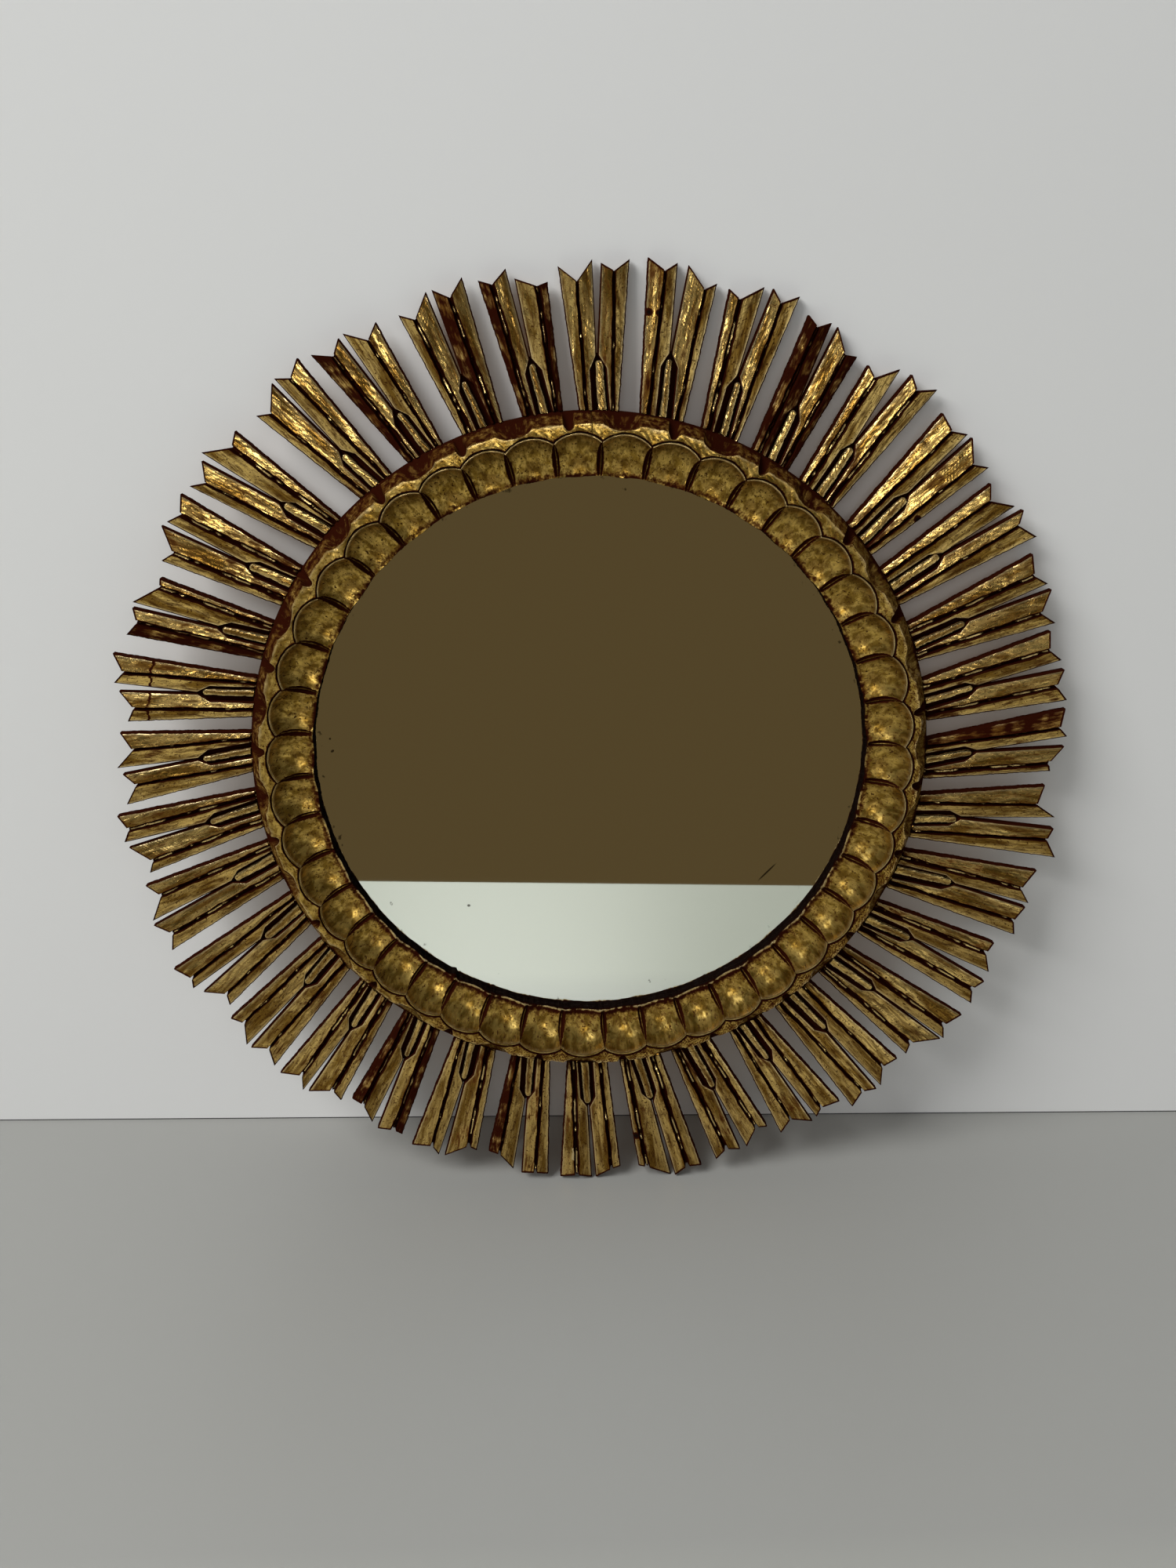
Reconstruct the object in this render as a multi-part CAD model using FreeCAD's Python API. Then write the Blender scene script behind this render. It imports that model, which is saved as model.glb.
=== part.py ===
import FreeCAD, Part
import math
import os

# Sunburst mirror: a round looking glass in a hand-carved, gilded frame of thirty-six rays.
# Millimetres. The front faces -Y, +Z is up and +X is to the viewer's right. The origin is the
# centre of the back plane, which lies against the wall. Depth is counted from that plane
# towards the viewer, and a bearing is in degrees, clockwise from the top as seen in front.

# Stack behind the carving: board, then hoop with the packing sheet and the glass inside it
BOARD_R = 190.0
BOARD_THICK = 3.0
HOOP_OUTER_R = 208.0
HOOP_INNER_R = 181.5
HOOP_FRONT = 9.0
PACKING_R = 181.0
GLASS_R = 180.0
GLASS_THICK = 3.0

# Turned blank of the carved ring
RING_BASE_R = 208.8
RING_NECK_R = 195.5
RIDGE_R = 201.5
RIDGE_DEPTH = 31.5
BLANK_INNER_R = 166.0
SIGHT_CORNER_R = 171.0

# Hollow scallops round the glass. Each is a spoon cut with its own upright axis, and its section
# is (radius, rise above the lowest point). A gouge cut parts each two scallops.
SPOON_CENTRE_R = 175.5
SPOON_FLOOR = 14.7
SPOON_SECTION = [(9.0, 0.8), (16.2, 4.6), (20.5, 18.5)]
SPOON_SIDES = 10
SEPARATOR_BEARINGS = [
    1.7, 10.4, 19.1, 27.8, 36.4, 44.4, 53.4, 61.8, 70.3, 79.0, 87.9,
    95.8, 104.3, 112.7, 121.1, 129.0, 137.5, 145.9, 153.8, 161.8, 169.7, 177.7,
    186.4, 194.2, 202.5, 210.6, 218.2, 226.2, 234.0, 242.0, 250.4, 258.8, 267.0,
    275.9, 284.5, 293.6, 302.7, 311.4, 320.0, 328.8, 337.0, 344.8, 353.5,
]
DART_INNER = (169.0, 17.0)
DART_OUTER = (191.0, 31.5)
DART_HALF_WIDTH = 2.2
DART_DEEP = 2.6

# Gouge flutes down the ring's outer wall: (radius, depth) of the flute's floor at each end. The
# cutter runs on past both ends by a share of the flute's length.
FLUTE_BEARINGS = [
    13.6, 29.5, 48.3, 64.4, 81.6, 95.0, 107.9, 125.4, 141.9, 157.2, 174.5,
    190.1, 207.5, 224.0, 239.6, 256.5, 272.8, 287.8, 304.0, 322.7, 338.2, 356.3,
]
FLUTE_TOP = (197.8, 31.5)
FLUTE_FOOT = (206.8, 14.0)
FLUTE_HALF_WIDTH = 2.8
FLUTE_FLAT_HALF = 1.2
FLUTE_CUT = 3.0
FLUTE_CUTTER_HIGH = 12.0
FLUTE_OVERRUN = 0.1

# Rays
RAY_FRONT = 17.0
TONGUE_FRONT = 15.0
TONGUE_INNER_R = 196.5
ROOT_R = 209.0
OUTER_R = 312.0
VALLEY_START_R = 201.0
VALLEY_DEEP = 5.0
VALLEY_SPILL = 0.5
GROOVE_AT = (0.20, 0.83)
FINGER_FOOT_AT = 0.55
FINGER_TIP_AT = 0.93
FINGER_HALF = 2.3
POCKET_HALF = 4.6
POCKET_FLOOR = 11.0
POCKET_OVERRUN = 4.0
SLIT_END_HALF = 0.35
SLIT_BEYOND_FINGER = 3.0
ABOVE = 3.0

# One row per ray, read from the real carving because no two rays are alike:
# bearings of the two root edges, radius of the finger's end, then (bearing, radius) of the
# outer left tip, left notch, inner left tip, inner right tip, right notch, outer right tip.
RAYS = [
    (7.7, 15.1, 243, (6.3, 294), (8.5, 288), (9.7, 293), (11.0, 293), (13.3, 282), (14.6, 287)),
    (17.9, 24.4, 241, (16.0, 286), (17.6, 282), (19.8, 293), (20.8, 294), (22.2, 288), (23.9, 296)),
    (26.9, 33.9, 242, (25.6, 289), (27.2, 285), (28.4, 291), (29.3, 291), (31.6, 280), (33.0, 283)),
    (36.2, 43.7, 242, (34.6, 283), (36.2, 279), (38.0, 292), (39.4, 294), (41.0, 289), (42.8, 298)),
    (47.0, 53.9, 245, (45.0, 291), (47.4, 288), (48.9, 294), (49.6, 295), (52.1, 286), (53.6, 293)),
    (56.5, 63.7, 243, (55.2, 289), (57.0, 283), (59.2, 295), (60.0, 298), (61.3, 291), (63.6, 299)),
    (67.0, 73.9, 243, (65.2, 293), (67.7, 289), (69.3, 296), (70.1, 297), (72.4, 287), (74.2, 295)),
    (77.0, 84.5, 240, (74.9, 291), (77.2, 288), (78.8, 295), (80.0, 296), (81.8, 290), (83.9, 297)),
    (87.5, 94.8, 240, (84.8, 296), (87.2, 292), (88.3, 297), (89.6, 296), (91.6, 286), (92.7, 288)),
    (97.4, 105.6, 236, (94.6, 287), (97.2, 283), (98.7, 298), (100.0, 298), (101.5, 295), (103.6, 305)),
    (107.8, 115.5, 247, (105.7, 297), (108.4, 290), (110.0, 300), (110.6, 299), (112.6, 295), (114.4, 301)),
    (118.1, 125.2, 242, (116.3, 292), (118.0, 290), (120.1, 300), (121.4, 301), (122.9, 296), (124.7, 303)),
    (128.1, 135.2, 246, (126.5, 304), (128.9, 297), (130.3, 305), (130.7, 305), (133.4, 289), (135.0, 294)),
    (137.2, 145.3, 245, (136.2, 293), (138.3, 289), (140.2, 301), (140.9, 301), (142.4, 295), (144.8, 302)),
    (148.0, 154.7, 240, (145.6, 294), (148.1, 289), (149.3, 294), (150.1, 297), (152.4, 286), (154.5, 294)),
    (158.1, 165.7, 245, (155.6, 285), (157.1, 281), (159.3, 294), (160.2, 294), (161.9, 289), (163.7, 296)),
    (167.6, 175.2, 243, (165.6, 297), (167.5, 294), (169.3, 300), (169.8, 301), (172.7, 289), (173.9, 288)),
    (177.2, 184.7, 241, (176.2, 287), (177.5, 288), (179.6, 295), (180.1, 295), (182.1, 292), (184.3, 295)),
    (187.5, 194.7, 240, (185.8, 293), (187.6, 292), (189.4, 294), (190.5, 293), (192.7, 282), (194.4, 282)),
    (197.5, 205.5, 238, (195.8, 283), (197.2, 281), (199.7, 294), (200.5, 294), (201.8, 288), (204.3, 294)),
    (208.3, 215.7, 240, (206.0, 288), (207.4, 287), (209.3, 292), (210.3, 290), (212.7, 280), (214.4, 281)),
    (218.1, 225.6, 240, (215.4, 286), (217.2, 282), (219.5, 294), (220.2, 295), (221.7, 286), (223.9, 296)),
    (228.0, 235.9, 238, (225.0, 294), (227.4, 286), (228.9, 295), (229.5, 296), (232.1, 285), (233.6, 291)),
    (238.7, 245.7, 239, (235.0, 285), (236.7, 281), (238.3, 294), (239.5, 297), (240.8, 293), (242.8, 301)),
    (248.2, 255.8, 239, (245.0, 295), (247.1, 288), (248.8, 298), (249.4, 297), (252.3, 284), (254.0, 292)),
    (258.1, 265.2, 242, (255.4, 286), (257.0, 281), (259.1, 294), (260.0, 295), (261.5, 290), (263.4, 296)),
    (268.0, 275.3, 239, (264.5, 289), (267.2, 280), (268.5, 288), (269.3, 291), (271.7, 280), (273.8, 288)),
    (277.6, 284.8, 240, (275.2, 283), (277.1, 279), (278.9, 289), (279.9, 292), (281.4, 287), (283.4, 295)),
    (287.6, 294.6, 238, (285.9, 289), (287.8, 284), (289.3, 289), (289.9, 290), (292.9, 277), (294.0, 279)),
    (297.3, 304.9, 237, (295.9, 282), (297.5, 277), (299.7, 290), (300.5, 288), (302.0, 283), (304.2, 289)),
    (308.4, 315.1, 239, (305.4, 287), (306.9, 280), (308.7, 289), (309.4, 292), (312.2, 280), (314.0, 285)),
    (319.5, 326.1, 235, (316.9, 282), (318.4, 277), (320.8, 289), (321.4, 290), (322.9, 284), (324.9, 291)),
    (329.1, 335.7, 236, (326.3, 288), (328.4, 280), (330.0, 287), (330.7, 288), (332.9, 278), (334.7, 285)),
    (338.9, 346.0, 238, (337.3, 283), (339.0, 277), (341.2, 289), (341.9, 289), (343.6, 282), (345.6, 291)),
    (348.9, 355.7, 240, (347.1, 287), (348.7, 283), (350.5, 290), (351.3, 284), (353.8, 278), (355.1, 280)),
    (358.0, 364.6, 237, (356.3, 288), (358.4, 279), (360.2, 291), (361.2, 289), (362.7, 285), (364.4, 292)),
]

# Fixings: cut brads and nails, square in section
NAIL_SIDE = 1.6
HOLE_SPARE = 0.1
RAY_NAIL_CIRCLE_R = 202.5
RAY_NAIL_ENDS = (3.2, 13.0)
BRAD_COUNT = 8
BRAD_CIRCLE_R = 185.8
BRAD_SUNK = 0.2
BRAD_END = 8.0

# Hanger on the back of the hoop, at the top. It lies in the thickness of the board, so that
# nothing stands behind the back plane while the loop hangs down round the strap's foot.
LOOP_AXIS_Z = 201.5
LOOP_AXIS_DEPTH = 1.5
WIRE_R = 0.8
WIRE_FLATS = 8
LOOP_HALF_WIDTH = 8.0
LOOP_REACH = 9.0
LOOP_BEND_R = 2.5
LOOP_BEND_STEPS = 3
EYE_OUTER_R = 1.45
EYE_BORE_R = 0.86
FOOT_HALF_WIDTH = 4.5
FOOT_BOTTOM_Z = 193.8
FOOT_THICK = 1.2
TACK_X = 2.3
TACK_Z = 196.8
TACK_HEAD_SIDE = 3.2
TACK_HEAD_HIGH = 0.9
TACK_END = 7.5

ORIGIN = FreeCAD.Vector(0, 0, 0)
FORWARD = FreeCAD.Vector(0, -1, 0)
BACKWARD = FreeCAD.Vector(0, 1, 0)
SIDEWAYS = FreeCAD.Vector(1, 0, 0)


def at(radius, bearing, depth):
    """Point at a radius and bearing, a depth in front of the back plane."""
    angle = math.radians(bearing)
    return FreeCAD.Vector(radius * math.sin(angle), -depth, radius * math.cos(angle))


def polygon(points):
    """Closed wire through the points."""
    return Part.makePolygon(points + points[:1])


def lifted(point, depth):
    """The same plan point at another depth."""
    return FreeCAD.Vector(point.x, -depth, point.z)


def between(a, b, share):
    """Point a share of the way from a to b; shares beyond 0 to 1 carry the line on."""
    return a + (b - a) * share


def plate(points, back, front):
    """Flat plate with an outline of plan points, from one depth to another."""
    outline = [lifted(point, back) for point in points]
    return Part.Face(polygon(outline)).extrude(FORWARD * (front - back))


def disc(radius, back, front):
    """Flat round disc centred on the mirror's axis."""
    return Part.makeCylinder(radius, front - back, at(0, 0, back), FORWARD)


def turned(profile):
    """Solid turned about the mirror's axis from (radius, depth) points."""
    section = [at(radius, 0, depth) for radius, depth in profile]
    return Part.Face(polygon(section)).revolve(ORIGIN, BACKWARD, 360)


def turn_to(shape, bearing):
    """Copy of a shape made at the top, turned round to a bearing."""
    copy = shape.copy()
    copy.rotate(ORIGIN, BACKWARD, bearing)
    return copy


def square_bar(side, circle_r, back, front):
    """Square bar parallel to the mirror's axis, at the top."""
    corner = FreeCAD.Vector(-side / 2, -front, circle_r - side / 2)
    return Part.makeBox(side, front - back, side, corner)


def joined_sections(sections, twisted):
    """Solid with flat facets through sections of as many points each.

    The quads between two sections are cut into triangles where the sections are twisted.
    """
    faces = [Part.Face(polygon(sections[0])), Part.Face(polygon(sections[-1]))]
    for near, far in zip(sections, sections[1:]):
        for k in range(len(near)):
            a, b, c, d = near[k - 1], near[k], far[k], far[k - 1]
            if twisted:
                faces.append(Part.Face(polygon([a, b, c])))
                faces.append(Part.Face(polygon([a, c, d])))
            else:
                faces.append(Part.Face(polygon([a, b, c, d])))
    return Part.makeSolid(Part.makeShell(faces))


# Rays

def ray_outline(row):
    """Plan outline of one ray: tongue, two fishtail forks and the slit between them."""
    left, right = row[:2]
    tip = [at(radius, bearing, 0) for bearing, radius in row[3:]]
    crotch = ray_crotch(row)
    side = (tip[3] - tip[2]).normalize() * SLIT_END_HALF
    return [
        at(TONGUE_INNER_R, left, 0), at(ROOT_R, left, 0), tip[0], tip[1], tip[2],
        crotch - side, crotch + side,
        tip[3], tip[4], tip[5], at(ROOT_R, right, 0), at(TONGUE_INNER_R, right, 0),
    ]


def ray_crotch(row):
    """Inner end of the slit, just beyond the finger and midway across the ray."""
    left, right, finger_end = row[:3]
    (left_bearing, left_r), (right_bearing, right_r) = row[3], row[8]
    reach = row[5][1]
    share = (finger_end + SLIT_BEYOND_FINGER - ROOT_R) / (reach - ROOT_R)
    left_edge = between(at(ROOT_R, left, 0), at(left_r, left_bearing, 0), share)
    right_edge = between(at(ROOT_R, right, 0), at(right_r, right_bearing, 0), share)
    return between(left_edge, right_edge, 0.5)


def finger_foot(row):
    """Point on the root line under the middle of the finger."""
    left, right = row[:2]
    return at(ROOT_R, left + (right - left) * FINGER_FOOT_AT, 0)


def valley(along, edge_a, groove, edge_b):
    """Cutter for one fork: two slopes that fall from its edge lines to a groove line.

    Each line is a pair of plan points, at the root and at the tip. Along is the ray's direction,
    and both sections are square to it.
    """
    spill = along.cross(FORWARD) * VALLEY_SPILL
    sections = []
    for reach in (VALLEY_START_R, OUTER_R):
        a, g, b = (between(root, tip, (reach - root * along) / ((tip - root) * along))
                   for root, tip in (edge_a, groove, edge_b))
        sections.append([
            lifted(a - spill, RAY_FRONT), lifted(g, RAY_FRONT - VALLEY_DEEP),
            lifted(b + spill, RAY_FRONT), lifted(b + spill, RAY_FRONT + ABOVE),
            lifted(a - spill, RAY_FRONT + ABOVE),
        ])
    return joined_sections(sections, twisted=True)


def finger_pocket(row):
    """Deep U-shaped cut that leaves a round-ended finger standing at the ray's root."""
    foot = finger_foot(row)
    tip = between(foot, ray_crotch(row), FINGER_TIP_AT)
    along = (tip - foot).normalize()
    side = along.cross(BACKWARD)
    foot = foot - along * POCKET_OVERRUN
    shoulder = tip - along * POCKET_HALF
    neck = shoulder + along * FINGER_HALF / 2
    outline = [foot - side * POCKET_HALF, shoulder - side * POCKET_HALF, tip,
               shoulder + side * POCKET_HALF, foot + side * POCKET_HALF,
               foot + side * FINGER_HALF, neck + side * FINGER_HALF, neck + along * FINGER_HALF,
               neck - side * FINGER_HALF, foot - side * FINGER_HALF]
    return plate(outline, POCKET_FLOOR, RAY_FRONT + ABOVE)


def build_ray(row):
    """One carved ray with the tongue that is held between the hoop and the ring."""
    left, right = row[:2]
    middle = (left + right) / 2
    tips = [at(radius, bearing, 0) for bearing, radius in row[3:]]
    along = at(1, middle, 0)
    tongue_top = Part.makeBox(2 * ROOT_R, ABOVE, ROOT_R,
                              FreeCAD.Vector(-ROOT_R, -TONGUE_FRONT - ABOVE, 0))
    ray = plate(ray_outline(row), HOOP_FRONT, RAY_FRONT).cut(turn_to(tongue_top, middle))
    shares = (0, GROOVE_AT[0], GROOVE_AT[1], 1)
    roots = [at(ROOT_R, left + (right - left) * share, 0) for share in shares]
    foot = finger_foot(row)
    ray = ray.cut(valley(along, (roots[0], tips[0]), (roots[1], tips[1]), (foot, tips[2])))
    ray = ray.cut(valley(along, (foot, tips[3]), (roots[2], tips[4]), (roots[3], tips[5])))
    ray = ray.cut(finger_pocket(row))
    nail_hole = square_bar(NAIL_SIDE + HOLE_SPARE, RAY_NAIL_CIRCLE_R, 0, RAY_NAIL_ENDS[1] + HOLE_SPARE)
    return ray.cut(turn_to(nail_hole, middle))


# Carved ring

def midway(bearings):
    """Bearings midway between each two that follow one another round the circle."""
    following = bearings[1:] + [bearings[0] + 360]
    return [(here + there) / 2 for here, there in zip(bearings, following)]


def spoon_cutter():
    """Many-sided bowl that hollows one scallop, at the top of the ring."""
    sections = []
    for radius, rise in SPOON_SECTION:
        corners = [at(radius, 360 * (k + 0.5) / SPOON_SIDES, SPOON_FLOOR + rise)
                   for k in range(SPOON_SIDES)]
        sections.append([corner + FreeCAD.Vector(0, 0, SPOON_CENTRE_R) for corner in corners])
    return joined_sections(sections, twisted=False)


def dart_cutter():
    """Long diamond-shaped gouge cut that parts two scallops, at the top of the ring."""
    ends = [at(DART_INNER[0], 0, DART_INNER[1]), at(DART_OUTER[0], 0, DART_OUTER[1])]
    middle = between(*ends, 0.5)
    side = SIDEWAYS * DART_HALF_WIDTH
    rim = [middle + side, middle + BACKWARD * DART_DEEP, middle - side,
           middle + FORWARD * (DART_OUTER[1] - DART_INNER[1])]
    faces = [Part.Face(polygon([end, rim[k - 1], rim[k]])) for end in ends for k in range(4)]
    return Part.makeSolid(Part.makeShell(faces))


def flute_cutter():
    """Flat-bottomed gouge cut down the outer wall, at the top of the ring."""
    section = [(-FLUTE_HALF_WIDTH, FLUTE_CUT), (-FLUTE_FLAT_HALF, 0), (FLUTE_FLAT_HALF, 0),
               (FLUTE_HALF_WIDTH, FLUTE_CUT), (FLUTE_HALF_WIDTH, FLUTE_CUTTER_HIGH),
               (-FLUTE_HALF_WIDTH, FLUTE_CUTTER_HIGH)]
    foot = at(FLUTE_FOOT[0], 0, FLUTE_FOOT[1])
    rise = at(FLUTE_TOP[0], 0, FLUTE_TOP[1]) - foot
    outward = rise.cross(SIDEWAYS).normalize()
    if outward.z < 0:
        outward = outward * -1
    start = foot - rise * FLUTE_OVERRUN
    points = [start + SIDEWAYS * x + outward * out for x, out in section]
    return Part.Face(polygon(points)).extrude(rise * (1 + 2 * FLUTE_OVERRUN))


def build_ring():
    """Carved ring: turned blank, many-sided sight edge, hollow scallops, darts and flutes."""
    ring = turned([
        (BLANK_INNER_R, HOOP_FRONT), (RING_NECK_R, HOOP_FRONT), (RING_NECK_R, TONGUE_FRONT),
        (RING_BASE_R, TONGUE_FRONT), (RIDGE_R, RIDGE_DEPTH), (BLANK_INNER_R, RIDGE_DEPTH),
    ])
    sight = [at(SIGHT_CORNER_R, bearing, 0) for bearing in SEPARATOR_BEARINGS]
    ring = ring.cut(plate(sight, 0, RIDGE_DEPTH + ABOVE))
    cuts = ((spoon_cutter(), midway(SEPARATOR_BEARINGS)), (dart_cutter(), SEPARATOR_BEARINGS),
            (flute_cutter(), FLUTE_BEARINGS))
    for cutter, bearings in cuts:
        ring = ring.cut([turn_to(cutter, bearing) for bearing in bearings])
    return ring


# Back of the frame

def ray_nails(spare):
    """Square nails, or with spare room their holes, one behind each ray's tongue."""
    back, front = RAY_NAIL_ENDS
    nail = square_bar(NAIL_SIDE + spare, RAY_NAIL_CIRCLE_R, back - spare, front + spare)
    return [turn_to(nail, (row[0] + row[1]) / 2) for row in RAYS]


def board_brads(spare):
    """Square brads, or with spare room their holes, round the edge of the backing board."""
    back = -spare if spare else BRAD_SUNK
    brad = square_bar(NAIL_SIDE + spare, BRAD_CIRCLE_R, back, BRAD_END + spare)
    return [turn_to(brad, 360 * (k + 0.5) / BRAD_COUNT) for k in range(BRAD_COUNT)]


def tack_shanks(spare):
    """Square shanks of the hanger's two tacks, or with spare room their holes."""
    shank = square_bar(NAIL_SIDE + spare, TACK_Z, BOARD_THICK - FOOT_THICK - spare, TACK_END + spare)
    return [shank.translated(SIDEWAYS * x) for x in (-TACK_X, TACK_X)]


def build_hoop():
    """Wooden hoop behind the tongues; the glass and its packing lie inside it."""
    hoop = turned([
        (HOOP_INNER_R, BOARD_THICK), (HOOP_OUTER_R, BOARD_THICK),
        (HOOP_OUTER_R, HOOP_FRONT), (HOOP_INNER_R, HOOP_FRONT),
    ])
    return hoop.cut(ray_nails(HOLE_SPARE) + board_brads(HOLE_SPARE) + tack_shanks(HOLE_SPARE))


def build_board():
    """Thin backing board over the back of the hoop, with holes for its brads."""
    return disc(BOARD_R, 0, BOARD_THICK).cut(board_brads(HOLE_SPARE))


# Hanger

def build_hanger_strap():
    """Folded strap: a flat foot under two tacks and an eye round the wire loop's bar."""
    foot = Part.makeBox(2 * FOOT_HALF_WIDTH, FOOT_THICK, LOOP_AXIS_Z - FOOT_BOTTOM_Z,
                        FreeCAD.Vector(-FOOT_HALF_WIDTH, -BOARD_THICK, FOOT_BOTTOM_Z))
    left_end = FreeCAD.Vector(-FOOT_HALF_WIDTH, -LOOP_AXIS_DEPTH, LOOP_AXIS_Z)
    eye = Part.makeCylinder(EYE_OUTER_R, 2 * FOOT_HALF_WIDTH, left_end, SIDEWAYS)
    bore = Part.makeCylinder(EYE_BORE_R, 2 * FOOT_HALF_WIDTH, left_end, SIDEWAYS)
    return foot.fuse(eye).cut([bore] + tack_shanks(HOLE_SPARE))


def loop_path():
    """Centre line of the wire loop: a rectangle with rounded corners, as (x, z) from its middle."""
    half_high = LOOP_REACH / 2
    path = []
    for quarter in range(4):
        across = LOOP_HALF_WIDTH - LOOP_BEND_R
        down = half_high - LOOP_BEND_R
        right = 1 if quarter in (0, 1) else -1
        up = 1 if quarter in (0, 3) else -1
        for step in range(LOOP_BEND_STEPS + 1):
            angle = math.radians(90 * (quarter + step / LOOP_BEND_STEPS))
            path.append((right * across + LOOP_BEND_R * math.sin(angle),
                         up * down + LOOP_BEND_R * math.cos(angle)))
    return path


def build_hanger_loop():
    """Wire loop that turns in the strap's eye and hangs down at rest.

    The wire has eight flats. At each point of the path its section lies on the plane that halves
    the bend there, so the flats meet in mitres.
    """
    path = [FreeCAD.Vector(x, -LOOP_AXIS_DEPTH, LOOP_AXIS_Z - LOOP_REACH / 2 + z)
            for x, z in loop_path()]
    sections = []
    for before, here, after in zip(path[-1:] + path[:-1], path, path[1:] + path[:1]):
        inward = (here - before).normalize()
        onward = (after - here).normalize()
        outward = (inward + onward).cross(FORWARD).normalize()
        stretch = 1 / math.sqrt((1 + inward * onward) / 2)
        section = []
        for k in range(WIRE_FLATS):
            angle = 2 * math.pi * (k + 0.5) / WIRE_FLATS
            depth_part = FORWARD * (WIRE_R * math.cos(angle))
            side_part = outward * (WIRE_R * stretch * math.sin(angle))
            section.append(here + depth_part + side_part)
        sections.append(section)
    faces = []
    for near, far in zip(sections, sections[1:] + sections[:1]):
        for k in range(WIRE_FLATS):
            faces.append(Part.Face(polygon([near[k - 1], near[k], far[k], far[k - 1]])))
    return Part.makeSolid(Part.makeShell(faces))


def build_hanger_tacks():
    """Two square-headed tacks that hold the strap to the hoop."""
    front = BOARD_THICK - FOOT_THICK
    head = square_bar(TACK_HEAD_SIDE, TACK_Z, front - TACK_HEAD_HIGH, front)
    heads = [head.translated(SIDEWAYS * x) for x in (-TACK_X, TACK_X)]
    return Part.makeCompound([shank.fuse(cap) for shank, cap in zip(tack_shanks(0), heads)])


def build_all():
    """Every node of the mirror by name."""
    glass_back = HOOP_FRONT - GLASS_THICK
    nodes = {f"ray_{number:02d}": build_ray(row) for number, row in enumerate(RAYS, 1)}
    nodes["carved_ring"] = build_ring()
    nodes["back_hoop"] = build_hoop()
    nodes["mirror_glass"] = disc(GLASS_R, glass_back, HOOP_FRONT)
    nodes["packing_sheet"] = disc(PACKING_R, BOARD_THICK, glass_back)
    nodes["backing_board"] = build_board()
    nodes["board_brads"] = Part.makeCompound(board_brads(0))
    nodes["ray_nails"] = Part.makeCompound(ray_nails(0))
    nodes["hanger_strap"] = build_hanger_strap()
    nodes["hanger_loop"] = build_hanger_loop()
    nodes["hanger_tacks"] = build_hanger_tacks()
    return nodes


os.makedirs("parts", exist_ok=True)
for node_name, node_shape in build_all().items():
    node_shape.exportStep(f"parts/{node_name}.step")
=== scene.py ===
import math

import bpy
import numpy as np
from mathutils import Matrix, Vector


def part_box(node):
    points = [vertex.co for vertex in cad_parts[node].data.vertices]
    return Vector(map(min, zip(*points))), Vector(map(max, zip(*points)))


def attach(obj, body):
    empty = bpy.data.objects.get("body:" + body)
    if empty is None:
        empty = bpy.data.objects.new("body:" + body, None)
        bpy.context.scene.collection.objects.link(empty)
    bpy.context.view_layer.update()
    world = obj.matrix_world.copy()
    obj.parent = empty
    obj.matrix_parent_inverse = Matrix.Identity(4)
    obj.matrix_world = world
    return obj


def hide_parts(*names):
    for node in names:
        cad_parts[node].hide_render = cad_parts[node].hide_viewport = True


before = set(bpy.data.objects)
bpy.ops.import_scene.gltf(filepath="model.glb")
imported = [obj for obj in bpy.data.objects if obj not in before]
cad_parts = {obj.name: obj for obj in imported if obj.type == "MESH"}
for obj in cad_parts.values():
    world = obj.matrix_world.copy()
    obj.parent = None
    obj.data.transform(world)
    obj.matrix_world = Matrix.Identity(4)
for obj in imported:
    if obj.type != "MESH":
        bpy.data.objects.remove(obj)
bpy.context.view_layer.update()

# Sunburst mirror. Plan points are (x, z) in millimetres, depth is counted in millimetres from the
# back plane towards the viewer, and a bearing runs clockwise from the top as seen in front.

# Rays. Thirty-six strips of limewood, each sawn into two fishtail forks with a groove gouged down
# each, and a round-ended finger left standing between them at the root. Gessoed, covered in
# red-brown bole and leafed. Their tongues lie on the hoop, under the ring.
BODY = "mirror"
HOOP_FRONT = -1000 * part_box("back_hoop")[0].y
RAY_FRONT = -1000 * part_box("ray_01")[0].y
TONGUE_TOP = 15.0
TONGUE_INNER_R = 196.5
ROOT_R = 209.0
UNDER_RING = 0.1
FLUSH = 0.01
# The patina mask is 0 on clean leaf; on the ring it also carries painted shade. Bole shows from
# about 0.4 and maroon wax from about 0.7, which turns nearly black between these two.
WAXED = 1.2
BLACKENED = 1.3


def wobble(x, seed, wave):
    """Smooth unevenness between about -1 and 1: three sine waves of unlike lengths, summed."""
    a, b, c = 6.283 / wave, 14.9 / wave, 33.1 / wave
    return (np.sin(a * x + 1.7 * seed) + 0.6 * np.sin(b * x + 4.1 * seed)
            + 0.35 * np.sin(c * x + 2.3 * seed)) / 1.95


def solid_points(node):
    """Vertices of a CAD node in millimetres."""
    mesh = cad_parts[node].data
    flat = np.empty(3 * len(mesh.vertices))
    mesh.vertices.foreach_get("co", flat)
    return 1000 * flat.reshape(-1, 3)


def ray_corners(node):
    """Plan corners of a ray, from its solid's back face: roots (2), crotch (1) and tips (6).

    Ordered by radius, the face's corners beyond the tongue are the two roots, the two ends of
    the slit and the six tips. The tips are then ordered clockwise.
    """
    points = solid_points(node)
    back = points[points[:, 1] > -HOOP_FRONT - FLUSH][:, [0, 2]]
    back = np.unique(np.round(back, 2), axis=0)
    reach = np.hypot(*back.T)
    back = back[reach > ROOT_R - UNDER_RING]
    back = back[np.argsort(np.hypot(*back.T))]
    along = back.sum(0) / np.hypot(*back.sum(0))
    across = np.array([along[1], -along[0]])
    turn = (back @ across) / (back @ along)
    roots = back[:2][np.argsort(turn[:2])]
    tips = back[4:][np.argsort(turn[4:])]
    return roots, back[2:4].mean(0), tips


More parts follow.
